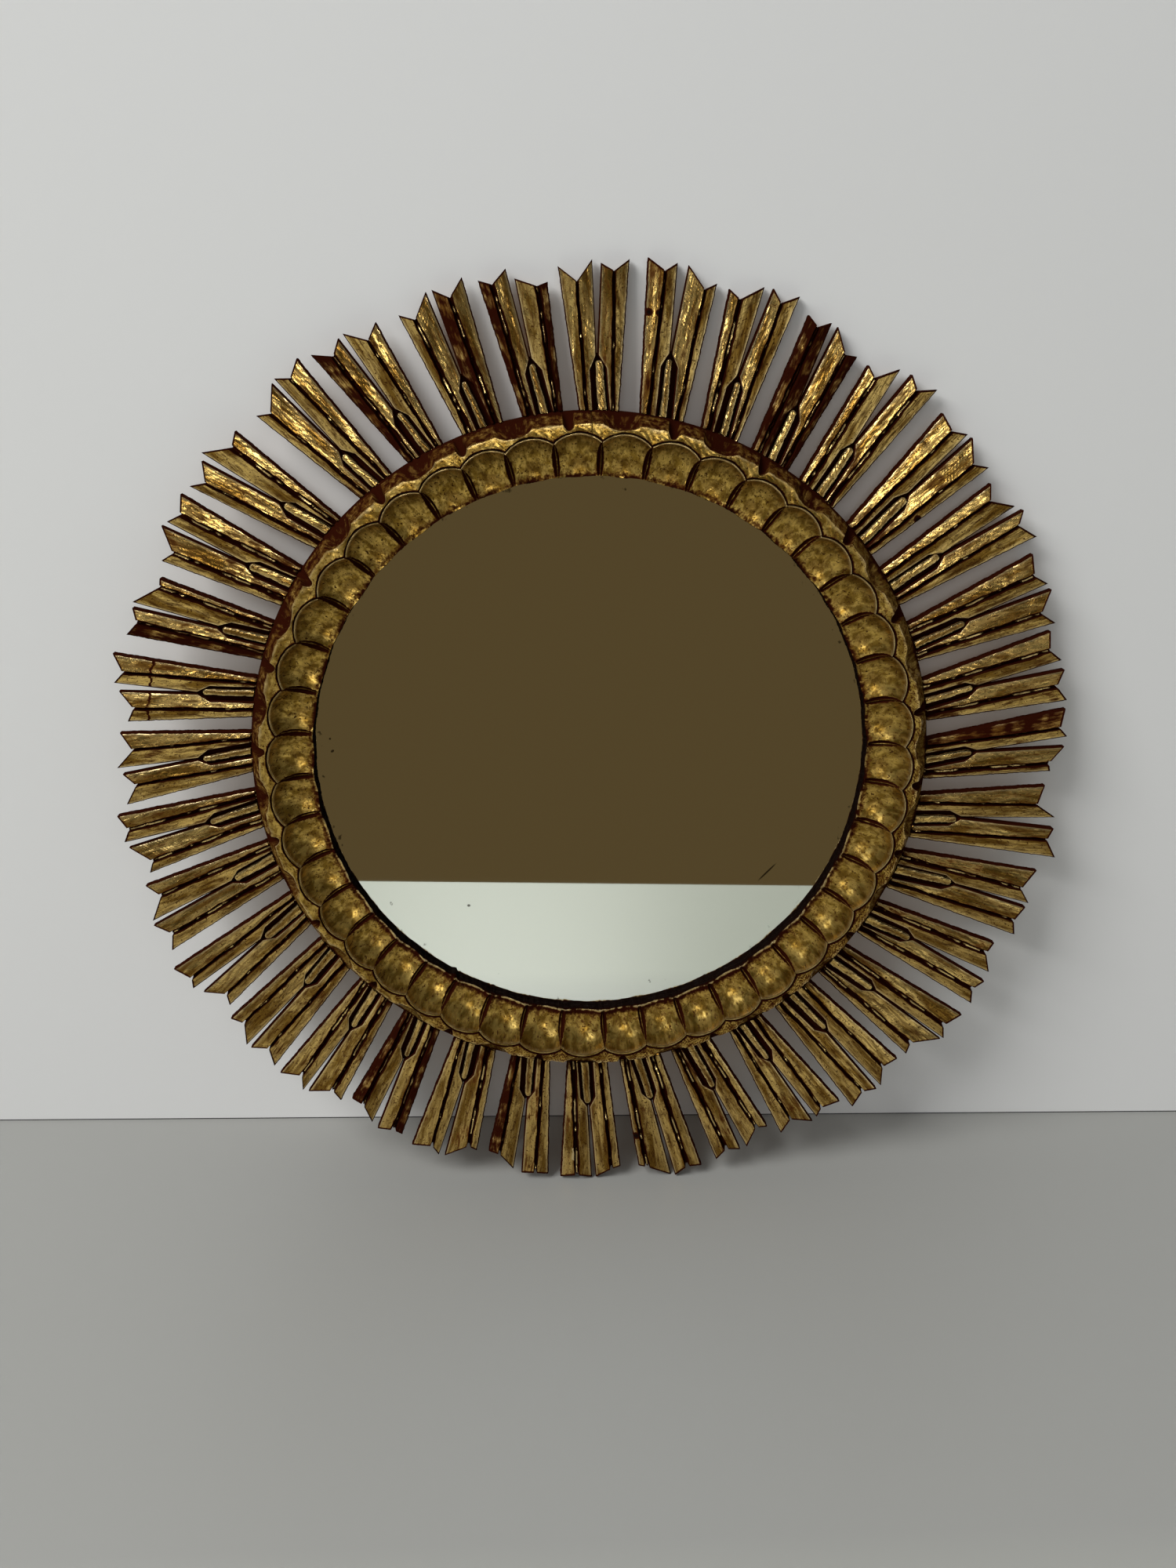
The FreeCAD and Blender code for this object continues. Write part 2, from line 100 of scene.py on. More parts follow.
def on_path(path, shares):
    """Points at shares of a plan path's length."""
    path = np.asarray(path)
    run = np.concatenate([[0], np.cumsum(np.hypot(*np.diff(path, axis=0).T))])
    return np.stack([np.interp(shares * run[-1], run, path[:, k]) for k in (0, 1)], axis=-1)


def in_space(plan, depth):
    """Points in metres from plan points and depths, both in millimetres."""
    return np.stack([plan[..., 0], -depth, plan[..., 1]], axis=-1) / 1000


def tube(rings, splits):
    """Faces of a closed skin over a grid of rings, each ring a closed profile.

    Quads join each ring to the next. The two ends are closed by flat faces, cut apart along the
    lines between the ring places named in splits.
    """
    count, around = rings.shape[:2]
    here = np.arange(count - 1)[:, None] * around + np.arange(around)
    beside = np.arange(count - 1)[:, None] * around + (np.arange(around) + 1) % around
    quads = np.stack([here, beside, beside + around, here + around], axis=-1).reshape(-1, 4)
    first, second = splits
    left = [*range(first + 1), *range(second, around)]
    right = [*range(first, second + 1)]
    last = (count - 1) * around
    ends = [left[::-1], right[::-1], [last + k for k in left], [last + k for k in right]]
    return quads.tolist() + ends


def with_skirt(plan, depth, masks, middle, back=HOOP_FRONT):
    """Closes a carved strip underneath: three more places per ring, flat at the back's depth."""
    skirt = np.stack([plan[:, -1], plan[:, middle], plan[:, 0]], axis=1)
    flat = np.full(skirt.shape[:2], back)
    plan = np.concatenate([plan, skirt], axis=1)
    depth = np.concatenate([depth, flat], axis=1)
    patina_and_shade, wear_and_highlight, lay = masks
    patina_and_shade = np.concatenate([patina_and_shade, flat * 0 + 0.9], axis=1)
    wear_and_highlight = np.concatenate([wear_and_highlight, flat * 0], axis=1)
    lay = np.concatenate([lay, lay[:, [-1, middle, 0]]], axis=1)
    return plan, depth, [patina_and_shade, wear_and_highlight, lay]


# A fork's length in round figures, and its last three rows as shares of it: set close together, so
# that the dark line round the tips is as narrow as it is along the sides.
FORK_LENGTH = 85.0
LAST_ROWS = (0.982, 0.993, 1)
# Outer edges, trimmed by eye: how far in from the sawn line they lie, how far they wander, their
# nicks, the dark line along them, and how much they are worn down and over what width.
EDGE_INWARD = 0.35
EDGE_WANDER = 0.2
EDGE_NICKS = 0.12
EDGE_LINE = 0.95
EDGE_WORN = 0.5
EDGE_WORN_WIDE = 0.3
# Facets: fall for each millimetre of width, the shares by which they differ and twist, and where
# their rows start, counted in the groove's half width.
FACET_TILT = 0.21
FACET_UNLIKE = 0.22
FACET_TWIST = 0.12
FACET_START = 1.3
# Grooves. The steps are shares of the way from the groove's middle to its lip.
GROOVE_HALF = 1.15
GROOVE_WIDER = 1.5
GROOVE_DEEP = 4.9
GROOVE_STEEP = 1.6
GROOVE_WANDER = 0.25
GROOVE_STEPS = np.array([0, 0.26, 0.40, 0.62, 0.84, 1])
GROOVE_RIDGE = 3.3
RIDGE_SHARE = 0.3
# Marks left by the gouge, in millimetres of depth.
CHATTER = 0.07
GOUGE_LINES = 0.06

# Worm holes and dark spots, each with its bearing, its radius from the middle and its own radius.
SPOTS = ((7.2, 264.5, 1.3), (8.4, 264.8, 1.2), (53.4, 242.0, 1.4), (173.7, 265.0, 1.6))
# A chip that shows pale gesso: bearing, inner and outer radius, half width.
CHIP = (182.7, 272.0, 281.0, 0.9)
# Facets dark with old wax: ray, its fork (-1 left, 1 right), and the facet on the outer side (-1)
# or the slit side (1) of that fork.
STAINED = {(3, -1, -1), (3, -1, 1), (3, 1, -1), (9, -1, -1), (19, 1, -1), (21, -1, -1), (21, 1, -1),
           (29, -1, -1), (33, -1, -1), (34, 1, 1), (35, -1, -1), (35, 1, -1)}
# One ray was broken across and glued again.
BROKEN_RAY = 28
BREAK_R = 270.5


def fork(edge, groove, inner, ridge, number, side, rows=150, columns=11):
    """One fork of a ray as (points, faces, masks).

    Across, distances are counted from the groove line. A facet falls evenly from the groove's lip
    to its edge, by its tilt times its width. The groove is steep, and a narrow ridge comes and
    goes on its floor. Depth is RAY_FRONT less that fall, less a rounding that dies away from the
    fork's own edges, and a little unevenness left by the gouge, longer along the ray than across
    it. Every other groove or so is a wide one. A dark line runs round the fork, some facets
    are rubbed through to the bole in long patches, and the stained ones are dark all over.
    are rubbed through to the bole in long patches, and the stained ones are dark all over.
    """
    seed = number + 0.37 * side
    t = np.concatenate([np.linspace(0, LAST_ROWS[0], rows - 2), LAST_ROWS[1:]])
    a, g, b, r = (on_path(line, t) for line in (edge, groove, inner, ridge))
    length = (FORK_LENGTH * t)[:, None]
    inward = (EDGE_INWARD + EDGE_WANDER * wobble(length, seed, 17)
              + EDGE_NICKS * wobble(length, seed + 9, 4.3))
    a = a - inward * (a - g) / np.hypot(*(a - g).T)[:, None]
    g = g + GROOVE_WANDER * wobble(length, seed + 3, 48) * np.sign(b - g)
    wide = np.sin(7.7 * seed) > -0.2
    ridge_on = np.clip(2 * wobble(length, seed + 5, 41) + (0.6 if wide else -0.6), 0, 1)
    halves = []
    for hand, line, full in ((-1, a, a), (1, b, r)):
        width = np.hypot(*(line - g).T)[:, None]
        whole = np.hypot(*(full - g).T)[:, None]
        lip = GROOVE_HALF * (GROOVE_WIDER if wide else 1)
        lip = np.minimum(lip * (1 + 0.2 * wobble(length, seed + 7 * hand, 31)), 0.5 * width)
        start = lip * FACET_START
        facet = start + (width - EDGE_LINE - start) * np.linspace(0, 1, columns)
        out = np.concatenate([lip * GROOVE_STEPS, facet, width - 0.5 * EDGE_LINE, width], axis=1)
        share = out / lip

        steepness = (1 + FACET_UNLIKE * np.sin(seed * 12.9 + hand * 4.1)
                     + FACET_TWIST * wobble(length, seed + hand, 60))
        slope = FACET_TILT * steepness * whole * (out - lip) / np.maximum(whole - lip, 1)
        steep = GROOVE_DEEP * np.clip(GROOVE_STEEP * (1 - share), 0, 1)
        on_ridge = ridge_on * (share < RIDGE_SHARE)
        fall = np.where(share < 1, steep - GROOVE_RIDGE * on_ridge, slope)
        fall = fall + EDGE_WORN * np.exp(-(width - out) / EDGE_WORN_WIDE)
        fall = fall + CHATTER * wobble(length + 2 * out, seed + 11, 6)
        fall = fall + GOUGE_LINES * wobble(out + 0.04 * length, seed + 13 * hand, 3.1)

        bare = np.clip(np.sin(5.7 * seed + 2.3 * hand) - 0.45, 0, 1)
        bare = bare * (0.6 + wobble(length, seed + 17, 52))
        line_start = width - 0.6 * EDGE_LINE
        patina_and_shade = np.clip(1.25 - (share - 1) * 3.5, 0, 1.1) - on_ridge
        patina_and_shade = np.maximum(patina_and_shade, 0.04 + 0.5 * bare + 0.25 * np.exp(-length / 14))
        patina_and_shade = np.maximum(patina_and_shade, WAXED * (out > line_start))
        if (number, side, hand) in STAINED:
            patina_and_shade = np.maximum(patina_and_shade, 0.65 + 0.25 * wobble(length, seed, 33))
        wear_and_highlight = np.exp(-np.abs(width - EDGE_LINE - out) / 0.5) * (out < line_start)
        wear_and_highlight = np.maximum(wear_and_highlight, 0.6 * on_ridge)
        plan = g[:, None] + (line - g)[:, None] * (out / width)[..., None]
        lay = np.stack([length + 0 * out, hand * out + 40 * seed, 0 * out + 30 * seed], axis=-1)
        halves.append([plan, np.maximum(fall, 0.02), patina_and_shade, wear_and_highlight, lay])
    left, right = halves
    plan, fall, patina_and_shade, wear_and_highlight, lay = (
        np.concatenate([one[:, ::-1], other[:, 1:]], axis=1) for one, other in zip(left, right))
    patina_and_shade[-2:] = WAXED

    for bearing, reach, size in SPOTS:
        angle = math.radians(bearing)
        spot_x, spot_z = reach * math.sin(angle), reach * math.cos(angle)
        off = np.hypot(plan[..., 0] - spot_x, plan[..., 1] - spot_z)
        patina_and_shade = np.maximum(patina_and_shade, np.clip(2.2 - off / size, 0, 1.4) * (off < 2 * size))
    bearing, chip_from, chip_to, chip_half = CHIP
    angle = math.radians(bearing)
    aside = np.abs(plan[..., 0] * math.cos(angle) - plan[..., 1] * math.sin(angle))
    reach = plan[..., 0] * math.sin(angle) + plan[..., 1] * math.cos(angle)
    chipped = (aside < chip_half) & (reach > chip_from) & (reach < chip_to)
    patina_and_shade, wear_and_highlight = np.where(chipped, -1, patina_and_shade), np.where(chipped, 1.25, wear_and_highlight)
    if number == BROKEN_RAY:
        off = np.abs(np.hypot(plan[..., 0], plan[..., 1]) - BREAK_R - wobble(plan[..., 1], 4, 11))
        patina_and_shade = np.maximum(patina_and_shade, WAXED - off)
    middle = left[0].shape[1] - 1
    plan, depth, masks = with_skirt(plan, RAY_FRONT - fall, [patina_and_shade, wear_and_highlight, lay], middle)

    under_ring = plan[:1] * (ROOT_R - UNDER_RING) / ROOT_R
    tongue_end = plan[:1] * TONGUE_INNER_R / ROOT_R
    plan = np.concatenate([tongue_end, under_ring, plan])
    depth = np.concatenate([np.minimum(depth[:1], TONGUE_TOP)] * 2 + [depth])
    masks = [np.concatenate([mask[:1], mask[:1], mask]) for mask in masks]
    points = in_space(plan, depth)
    return points, tube(points, (middle, points.shape[1] - 2)), masks


# Pocket between the forks. Its floor runs a little way into the walls and in under the ring.
POCKET_HALF = 4.4
POCKET_FLOOR = 10.6
POCKET_OVER = 0.4
POCKET_UNDER = 4.0
POCKET_PAST = 1.0
FINGER_HALF = 2.2
FINGER_TOP = 16.2
FINGER_ROUND = 0.3
FINGER_CROWN = 0.5
FINGER_SHORT = 3.0
FINGER_ASIDE = 0.9
FINGER_WANDER = 0.25


def finger(foot, crotch, seed, rows=90, columns=34):
    """Floor of the pocket with the finger standing on it, as (points, faces, masks).

    The finger is where the distance to its centre line is under its half width. Depth climbs
    from the floor to the top through a smooth step there, and the top is slightly crowned. The
    finger stands a little to one side, so that one gap is wider than the other.
    """
    way = crotch - foot
    long = np.hypot(*way)
    way = way / long
    side = np.array([way[1], -way[0]])
    t = np.linspace(-POCKET_UNDER, long + POCKET_PAST, rows)
    x = np.linspace(-1, 1, columns)
    x = np.sign(x) * np.abs(x) ** 1.15 * (POCKET_HALF + POCKET_OVER)
    along, across = np.meshgrid(t, x, indexing="ij")
    half = FINGER_HALF * (1.1 + 0.15 * np.sin(5.3 * seed) - 0.2 * along / long)
    end = long - FINGER_SHORT - FINGER_HALF
    aside = FINGER_ASIDE * np.sin(8.7 * seed) + FINGER_WANDER * wobble(along, seed, 23)
    off = np.hypot(np.maximum(along - end, 0), across + aside)
    inside = np.clip((half + FINGER_ROUND - off) / (2 * FINGER_ROUND), 0, 1)
    inside = inside ** 2 * (3 - 2 * inside)
    crown = FINGER_CROWN * (off / half) ** 2 + 0.15 * wobble(along + 2 * across, seed + 5, 9)
    top = FINGER_TOP - np.clip(crown, 0, 0.8)
    depth = POCKET_FLOOR + (top - POCKET_FLOOR) * inside
    plan = foot + along[..., None] * way + across[..., None] * side
    radius = np.hypot(plan[..., 0], plan[..., 1])
    depth = np.where(radius < ROOT_R - POCKET_OVER, POCKET_FLOOR, depth)
    patina_and_shade = 1.1 - inside ** 2
    wear_and_highlight = inside * np.exp(-np.abs(half - 0.4 - off) / 0.4)
    lay = np.stack([along, across + 70 * seed, 0 * along + 50 * seed], axis=-1)
    middle = columns // 2
    plan, depth, masks = with_skirt(plan, depth, [patina_and_shade, wear_and_highlight, lay], middle, HOOP_FRONT + 0.2)
    points = in_space(plan, depth)
    return points, tube(points, (middle, columns + 1)), masks


# Edges sharper than this angle stay crisp. A face this near the hoop's front plane is uncarved.
SHARP_ANGLE = math.radians(35)
BACK_WITHIN = 0.3


def add_piece(name, parts, material, back_material, body=BODY):
    """Makes one object from parts of (points, faces, masks) and lets it ride on a body.

    Uncarved faces take the back material. The masks become attributes: the patina, which on the
    ring also carries painted shade; the wear, which on the ring also carries painted highlights;
    and lay, which is the place on the carving in millimetres, its first number along the gouge. A
    part whose faces enclose a negative volume is turned the right way out.
    """
    points, faces, start = [], [], 0
    for grid, part_faces, _ in parts:
        flat = grid.reshape(-1, 3)
        quads = np.array([face for face in part_faces if len(face) == 4])
        a, b, c, d = (flat[quads[:, k]] for k in range(4))
        volume = (a * np.cross(b, c)).sum() + (a * np.cross(c, d)).sum()
        turn = -1 if volume < 0 else 1
        faces += [[start + k for k in face[::turn]] for face in part_faces]
        points.append(flat)
        start += len(flat)
    mesh = bpy.data.meshes.new(name)
    mesh.from_pydata(np.concatenate(points).tolist(), [], faces)
    for k, mask in enumerate(("patina_and_shade", "wear_and_highlight")):
        values = np.concatenate([masks[k].ravel() for _, _, masks in parts])
        layer = mesh.attributes.new(mask, "FLOAT", "POINT")
        layer.data.foreach_set("value", values.astype(np.float32))
    lay = np.concatenate([masks[2].reshape(-1, 3) for _, _, masks in parts])
    layer = mesh.attributes.new("lay", "FLOAT_VECTOR", "POINT")
    layer.data.foreach_set("vector", lay.astype(np.float32).ravel())
    mesh.polygons.foreach_set("use_smooth", np.ones(len(mesh.polygons), bool))
    mesh.set_sharp_from_angle(angle=SHARP_ANGLE)
    mesh.materials.append(material)
    mesh.materials.append(back_material)
    rearmost = np.concatenate(points)[:, 1] > -(HOOP_FRONT + BACK_WITHIN) / 1000
    uncarved = [bool(rearmost[list(face)].all()) for face in faces]
    mesh.polygons.foreach_set("material_index", np.array(uncarved, np.int32))
    piece = bpy.data.objects.new(name, mesh)
    bpy.context.scene.collection.objects.link(piece)
    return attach(piece, body)


def paint(code):
    """Linear colour from an sRGB hex value."""
    parts = [int(code[k:k + 2], 16) / 255 for k in (1, 3, 5)]
    return [p / 12.92 if p <= 0.04045 else ((p + 0.055) / 1.055) ** 2.4 for p in parts] + [1]


def add(tree, kind, inputs=None, **settings):
    """Adds a shader node with its settings. An input's value is a number, a colour or a link."""
    made = tree.nodes.new(kind)
    for name, value in settings.items():
        setattr(made, name, value)
    for name, value in (inputs or {}).items():
        if isinstance(value, bpy.types.NodeSocket):
            tree.links.new(value, made.inputs[name])
        else:
            made.inputs[name].default_value = value
    return made


def new_material(name):
    """Empty material, its node tree and its output node."""
    material = bpy.data.materials.new(name)
    material.use_nodes = True
    tree = material.node_tree
    tree.nodes.clear()
    return material, tree, add(tree, "ShaderNodeOutputMaterial")


def aged_gilding(name, light, dark, clouds_mm, streak, lines, grimy, roughness, swell_mm):
    """Aged water gilding: leaf laid over red-brown bole, rubbed bright on edges, then toned.

    It is metal to the eye, unevenly burnished. Two golds lie in clouds, drawn out along the gouge
    by the streak share, with thin dark gouge lines of the strength given. Brown toning films the
    leaf in patches of the strength grimy, sits as flecks in its pits and turns to maroon wax in
    the hollows, nearly black where it is thickest.
    """
    material, tree, output = new_material(name)
    lay = add(tree, "ShaderNodeAttribute", attribute_name="lay").outputs["Vector"]
    patina_and_shade = add(tree, "ShaderNodeAttribute", attribute_name="patina_and_shade").outputs["Fac"]
    wear_and_highlight = add(tree, "ShaderNodeAttribute", attribute_name="wear_and_highlight").outputs["Fac"]
    drawn = add(tree, "ShaderNodeMapping", {"Vector": lay, "Scale": (streak, 1, 1)}).outputs[0]
    clouds = add(tree, "ShaderNodeTexNoise", {"Vector": drawn, "Scale": 1 / clouds_mm, "Detail": 5,
                                              "Roughness": 0.6, "Distortion": 0.5})
    grime = add(tree, "ShaderNodeTexNoise", {"Vector": drawn, "Scale": 1 / 2.6, "Detail": 8,
                                             "Roughness": 0.68})
    specks = add(tree, "ShaderNodeTexNoise", {"Vector": lay, "Scale": 1 / 1.6, "Detail": 3,
                                              "Roughness": 0.6})
    stroke = add(tree, "ShaderNodeMapping", {"Vector": lay, "Scale": (0.05, 1, 1)})
    hatch = add(tree, "ShaderNodeTexNoise", {"Vector": stroke.outputs[0], "Scale": 1 / 1.2,
                                             "Detail": 3})
    swell = add(tree, "ShaderNodeTexNoise", {"Vector": drawn, "Scale": 1 / swell_mm, "Detail": 2})
    tone = add(tree, "ShaderNodeMapRange", {"Value": clouds.outputs["Fac"], "From Min": 0.40,
                                            "From Max": 0.60}, interpolation_type="SMOOTHSTEP")
    leaf = add(tree, "ShaderNodeMix", {0: tone.outputs[0], 6: paint(dark), 7: paint(light)},
               data_type="RGBA")
    # The wear mask brightens the leaf: real wear, and on the ring painted highlights along the
    # crests and the lip.
    rubbed_and_lit = add(tree, "ShaderNodeMath", {0: wear_and_highlight, 1: 0.8}, operation="MULTIPLY", use_clamp=True)
    leaf = add(tree, "ShaderNodeMix", {0: rubbed_and_lit.outputs[0], 6: leaf.outputs[2],
                                       7: paint("#F0D498")}, data_type="RGBA")
    film = add(tree, "ShaderNodeMapRange", {"Value": grime.outputs["Fac"], "From Min": 0.47,
                                            "From Max": 0.62, "To Max": grimy})
    fleck = add(tree, "ShaderNodeMapRange", {"Value": specks.outputs["Fac"], "From Min": 0.59,
                                             "From Max": 0.63, "To Max": 0.95})
    lined = add(tree, "ShaderNodeMapRange", {"Value": hatch.outputs["Fac"], "From Min": 0.54,
                                             "From Max": 0.60, "To Max": lines})
    kept = add(tree, "ShaderNodeMath", {0: 1.0, 1: rubbed_and_lit.outputs[0]}, operation="SUBTRACT")
    for more, operation in ((fleck, "MAXIMUM"), (lined, "MAXIMUM"), (kept, "MULTIPLY")):
        film = add(tree, "ShaderNodeMath", {0: film.outputs[0], 1: more.outputs[0]},
                   operation=operation)
    toned = add(tree, "ShaderNodeMix", {0: film.outputs[0], 6: leaf.outputs[2],
                                        7: paint("#3A1E0A")}, data_type="RGBA")
    broken = add(tree, "ShaderNodeMath", {0: grime.outputs["Fac"], 1: 1.6, 2: -0.8},
                 operation="MULTIPLY_ADD")
    # The patina mask takes the leaf to bole and wax: real patina, and on the ring painted shade in
    # the lower bowls, on the wall and on the fillet.
    edge = add(tree, "ShaderNodeMath", {0: patina_and_shade, 1: broken.outputs[0]}, operation="ADD")
    bole = add(tree, "ShaderNodeMapRange", {"Value": edge.outputs[0], "From Min": 0.26,
                                            "From Max": 0.48, "To Max": 0.9})
    waxed = add(tree, "ShaderNodeMapRange", {"Value": edge.outputs[0], "From Min": 0.45,
                                             "From Max": 0.72}, interpolation_type="SMOOTHSTEP")
    boled = add(tree, "ShaderNodeMix", {0: bole.outputs[0], 6: toned.outputs[2],
                                        7: paint("#4C2C10")}, data_type="RGBA")
    deep = add(tree, "ShaderNodeMapRange", {"Value": patina_and_shade, "From Min": WAXED,
                                            "From Max": BLACKENED})
    wax = add(tree, "ShaderNodeMix", {0: deep.outputs[0], 6: paint("#290D05"),
                                      7: paint("#140B08")}, data_type="RGBA")
    colour = add(tree, "ShaderNodeMix", {0: waxed.outputs[0], 6: boled.outputs[2],
                                         7: wax.outputs[2]}, data_type="RGBA")
    dull = add(tree, "ShaderNodeMath", {0: film.outputs[0], 1: 0.6, 2: bole.outputs[0]},
               operation="MULTIPLY_ADD", use_clamp=True)
    metal = add(tree, "ShaderNodeMapRange", {"Value": dull.outputs[0], "To Min": 1.0,
                                             "To Max": 0.0})
    matt = add(tree, "ShaderNodeMapRange", {"Value": dull.outputs[0], "To Min": roughness,
                                            "To Max": 0.6})
    grain = add(tree, "ShaderNodeMath", {0: specks.outputs["Fac"], 1: 0.12,
                                         2: swell.outputs["Fac"]}, operation="MULTIPLY_ADD")
    bump = add(tree, "ShaderNodeBump", {"Height": grain.outputs[0], "Strength": 1.0,
                                        "Distance": 0.0007})
    surface = add(tree, "ShaderNodeBsdfPrincipled", {
        "Base Color": colour.outputs[2], "Metallic": metal.outputs[0],
        "Roughness": matt.outputs[0], "Specular IOR Level": 0.0, "Normal": bump.outputs[0]})
    tree.links.new(surface.outputs[0], output.inputs["Surface"])
    return material


# Backs of the rays and of the ring: planed limewood, left without gesso. A thin brown wash lets its
# long fine fibres show.
limewood, tree, output = new_material("washed_limewood")
lay = add(tree, "ShaderNodeAttribute", attribute_name="lay").outputs["Vector"]
place = add(tree, "ShaderNodeTexCoord").outputs["Object"]
drawn = add(tree, "ShaderNodeMapping", {"Vector": lay, "Scale": (0.06, 1, 1)})
fibre = add(tree, "ShaderNodeTexNoise", {"Vector": drawn.outputs[0], "Scale": 1 / 0.9,
                                         "Detail": 4})
wash = add(tree, "ShaderNodeTexNoise", {"Vector": place, "Scale": 1000 / 14, "Detail": 4})
mingled = add(tree, "ShaderNodeMath", {0: fibre.outputs["Fac"], 1: wash.outputs["Fac"]},
              operation="MULTIPLY")
shade = add(tree, "ShaderNodeMapRange", {"Value": mingled.outputs[0], "From Min": 0.16,
                                         "From Max": 0.36})
washed = add(tree, "ShaderNodeMix", {0: shade.outputs[0], 6: paint("#4A3018"),
                                     7: paint("#80603A")}, data_type="RGBA")
relief = add(tree, "ShaderNodeBump", {"Height": fibre.outputs["Fac"], "Strength": 0.3,
                                      "Distance": 0.0002})
surface = add(tree, "ShaderNodeBsdfPrincipled", {"Base Color": washed.outputs[2], "Roughness": 0.7,
                                                 "Normal": relief.outputs[0]})
tree.links.new(surface.outputs[0], output.inputs["Surface"])

# Where the two grooves and the finger start, as shares of the root's width from its left corner.
GROOVE_SHARE = (0.20, 0.83)
FINGER_SHARE = 0.55
# The finger's pocket narrows to the slit over this length at its head.
SHOULDER = 3.0
SLIT_HALF = 0.3
ray_gilding = aged_gilding("ray_gilding", "#DDB86A", "#866327", clouds_mm=8, streak=0.22,
                           lines=0.6, grimy=0.9, roughness=0.17, swell_mm=5)
for number in range(1, 37):
    node = f"ray_{number:02d}"
    (root_left, root_right), crotch, tips = ray_corners(node)
    root_way = root_right - root_left
    grooves = [root_left + root_way * share for share in GROOVE_SHARE]
    foot = root_left + root_way * FINGER_SHARE
    up = (crotch - foot) / np.hypot(*(crotch - foot))
    clear = np.array([up[1], -up[0]])
    parts = [finger(foot, crotch, number)]
    for hand, root, groove, (outer_tip, notch, inner_tip) in (
            (-1, root_left, grooves[0], tips[:3]), (1, root_right, grooves[1], tips[:2:-1])):
        aside = clear * hand
        shoulder = crotch + aside * POCKET_HALF - up * (POCKET_HALF + SHOULDER)
        inner = [foot + aside * POCKET_HALF, shoulder, crotch + aside * SLIT_HALF, inner_tip]
        outline = [root, outer_tip], [groove, notch], inner, [foot, inner_tip]
        parts.append(fork(*outline, number, hand))
    piece = add_piece(f"{node}_carved", parts, ray_gilding, limewood)
    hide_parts(node)

# Carved ring. One turned ring of limewood, with forty-three gouge bowls parted by dark lens-shaped
# cuts, and a rough gold fillet round them. Its sloping wall is left brown, with twenty-two gouge
# flutes and a shallow scoop between each two. It is glued to the hoop, over the glass's edge.
BOWL_CENTRE_R = 175.5
BOWL_R = 20.3
BOWL_RIM = 20.2
BOWL_HIGH = 17.6
BOWL_TOP = 32.3
BOWL_POWER = 2.15
BOWL_UNEVEN = 0.12
# Cuts between the bowls: radii of the two ends, half width, depth, and how far to one side of the
# middle the thin ridge stands.
CUT_ENDS = (169.2, 191.0)
CUT_HALF = 2.0
CUT_DEEP = 2.9
CUT_ASIDE = 0.3
# Lip over the glass. Its wall is given from the back, as depths and how far each leans outwards.
LIP_R = 170.9
LIP_LEAST_R = 170.2
LIP_SCALLOP = 0.3
LIP_WANDER = 0.25
LIP_WALL = (HOOP_FRONT + 0.02, 10.5, 12.5, 14.0)
LIP_WALL_LEAN = (0.1, 0.05, -0.05, -0.15)
# Crest on the bowls' rims, and the quirk outside it: millimetres out from the rim, and depths.
CREST_OUT = (0.2, 0.45, 0.7, 0.95)
CREST = (31.0, 31.35, 31.35, 30.9)
CREST_LIMIT = 31.45
QUIRK_OUT = (1.15, 1.4, 1.7)
QUIRK = (30.0, 29.3, 29.6)
FILLET_OUT = 1.9
FILLET_LEAST = 0.4
FILLET_RISE = 1.0
EDGE_R = 201.5
EDGE_DEPTH = 30.4
# Wall, from the edge down to the rays, then in under their roots.
WALL_HOLLOW = 0.35
BASE_R = 208.4
NECK_R = 195.5
ON_RAYS = TONGUE_TOP + 0.05
FLUTE_R = 203
FLUTE_HALF = 3.1
FLUTE_IN = 4.0
SCOOP_HALF_BEARING = 3.0
SCOOP_IN = 3.6
FLUTE_BEARINGS = np.array([
    13.6, 29.5, 48.3, 64.4, 81.6, 95.0, 107.9, 125.4, 141.9, 157.2, 174.5,
    190.1, 207.5, 224.0, 239.6, 256.5, 272.8, 287.8, 304.0, 322.7, 338.2, 356.3,
])
# A blob of old wax on the lip.
BLOB_BEARING = 211.5
BLOB_HALF_BEARING = 0.6
BLOB_REACH = 1.7
# The corners of the solid ring's sight edge lie within this radius.
SIGHT_R = 171.5


def separator_bearings():
    """Bearings of the cuts between the bowls: the corners of the solid ring's sight edge."""
    points = solid_points("carved_ring")
    radius = np.hypot(points[:, 0], points[:, 2])
    corners = points[(points[:, 1] > -HOOP_FRONT - FLUSH) & (radius < SIGHT_R)]
    bearings = np.degrees(np.arctan2(corners[:, 0], corners[:, 2])) % 360
    return np.unique(np.round(bearings, 1))


def nearest(bearing, marks):
    """Signed angle in degrees from the nearest mark, and that mark's number."""
    off = (bearing[:, None] - marks[None] + 180) % 360 - 180
    which = np.abs(off).argmin(1)
    return off[np.arange(len(bearing)), which], which


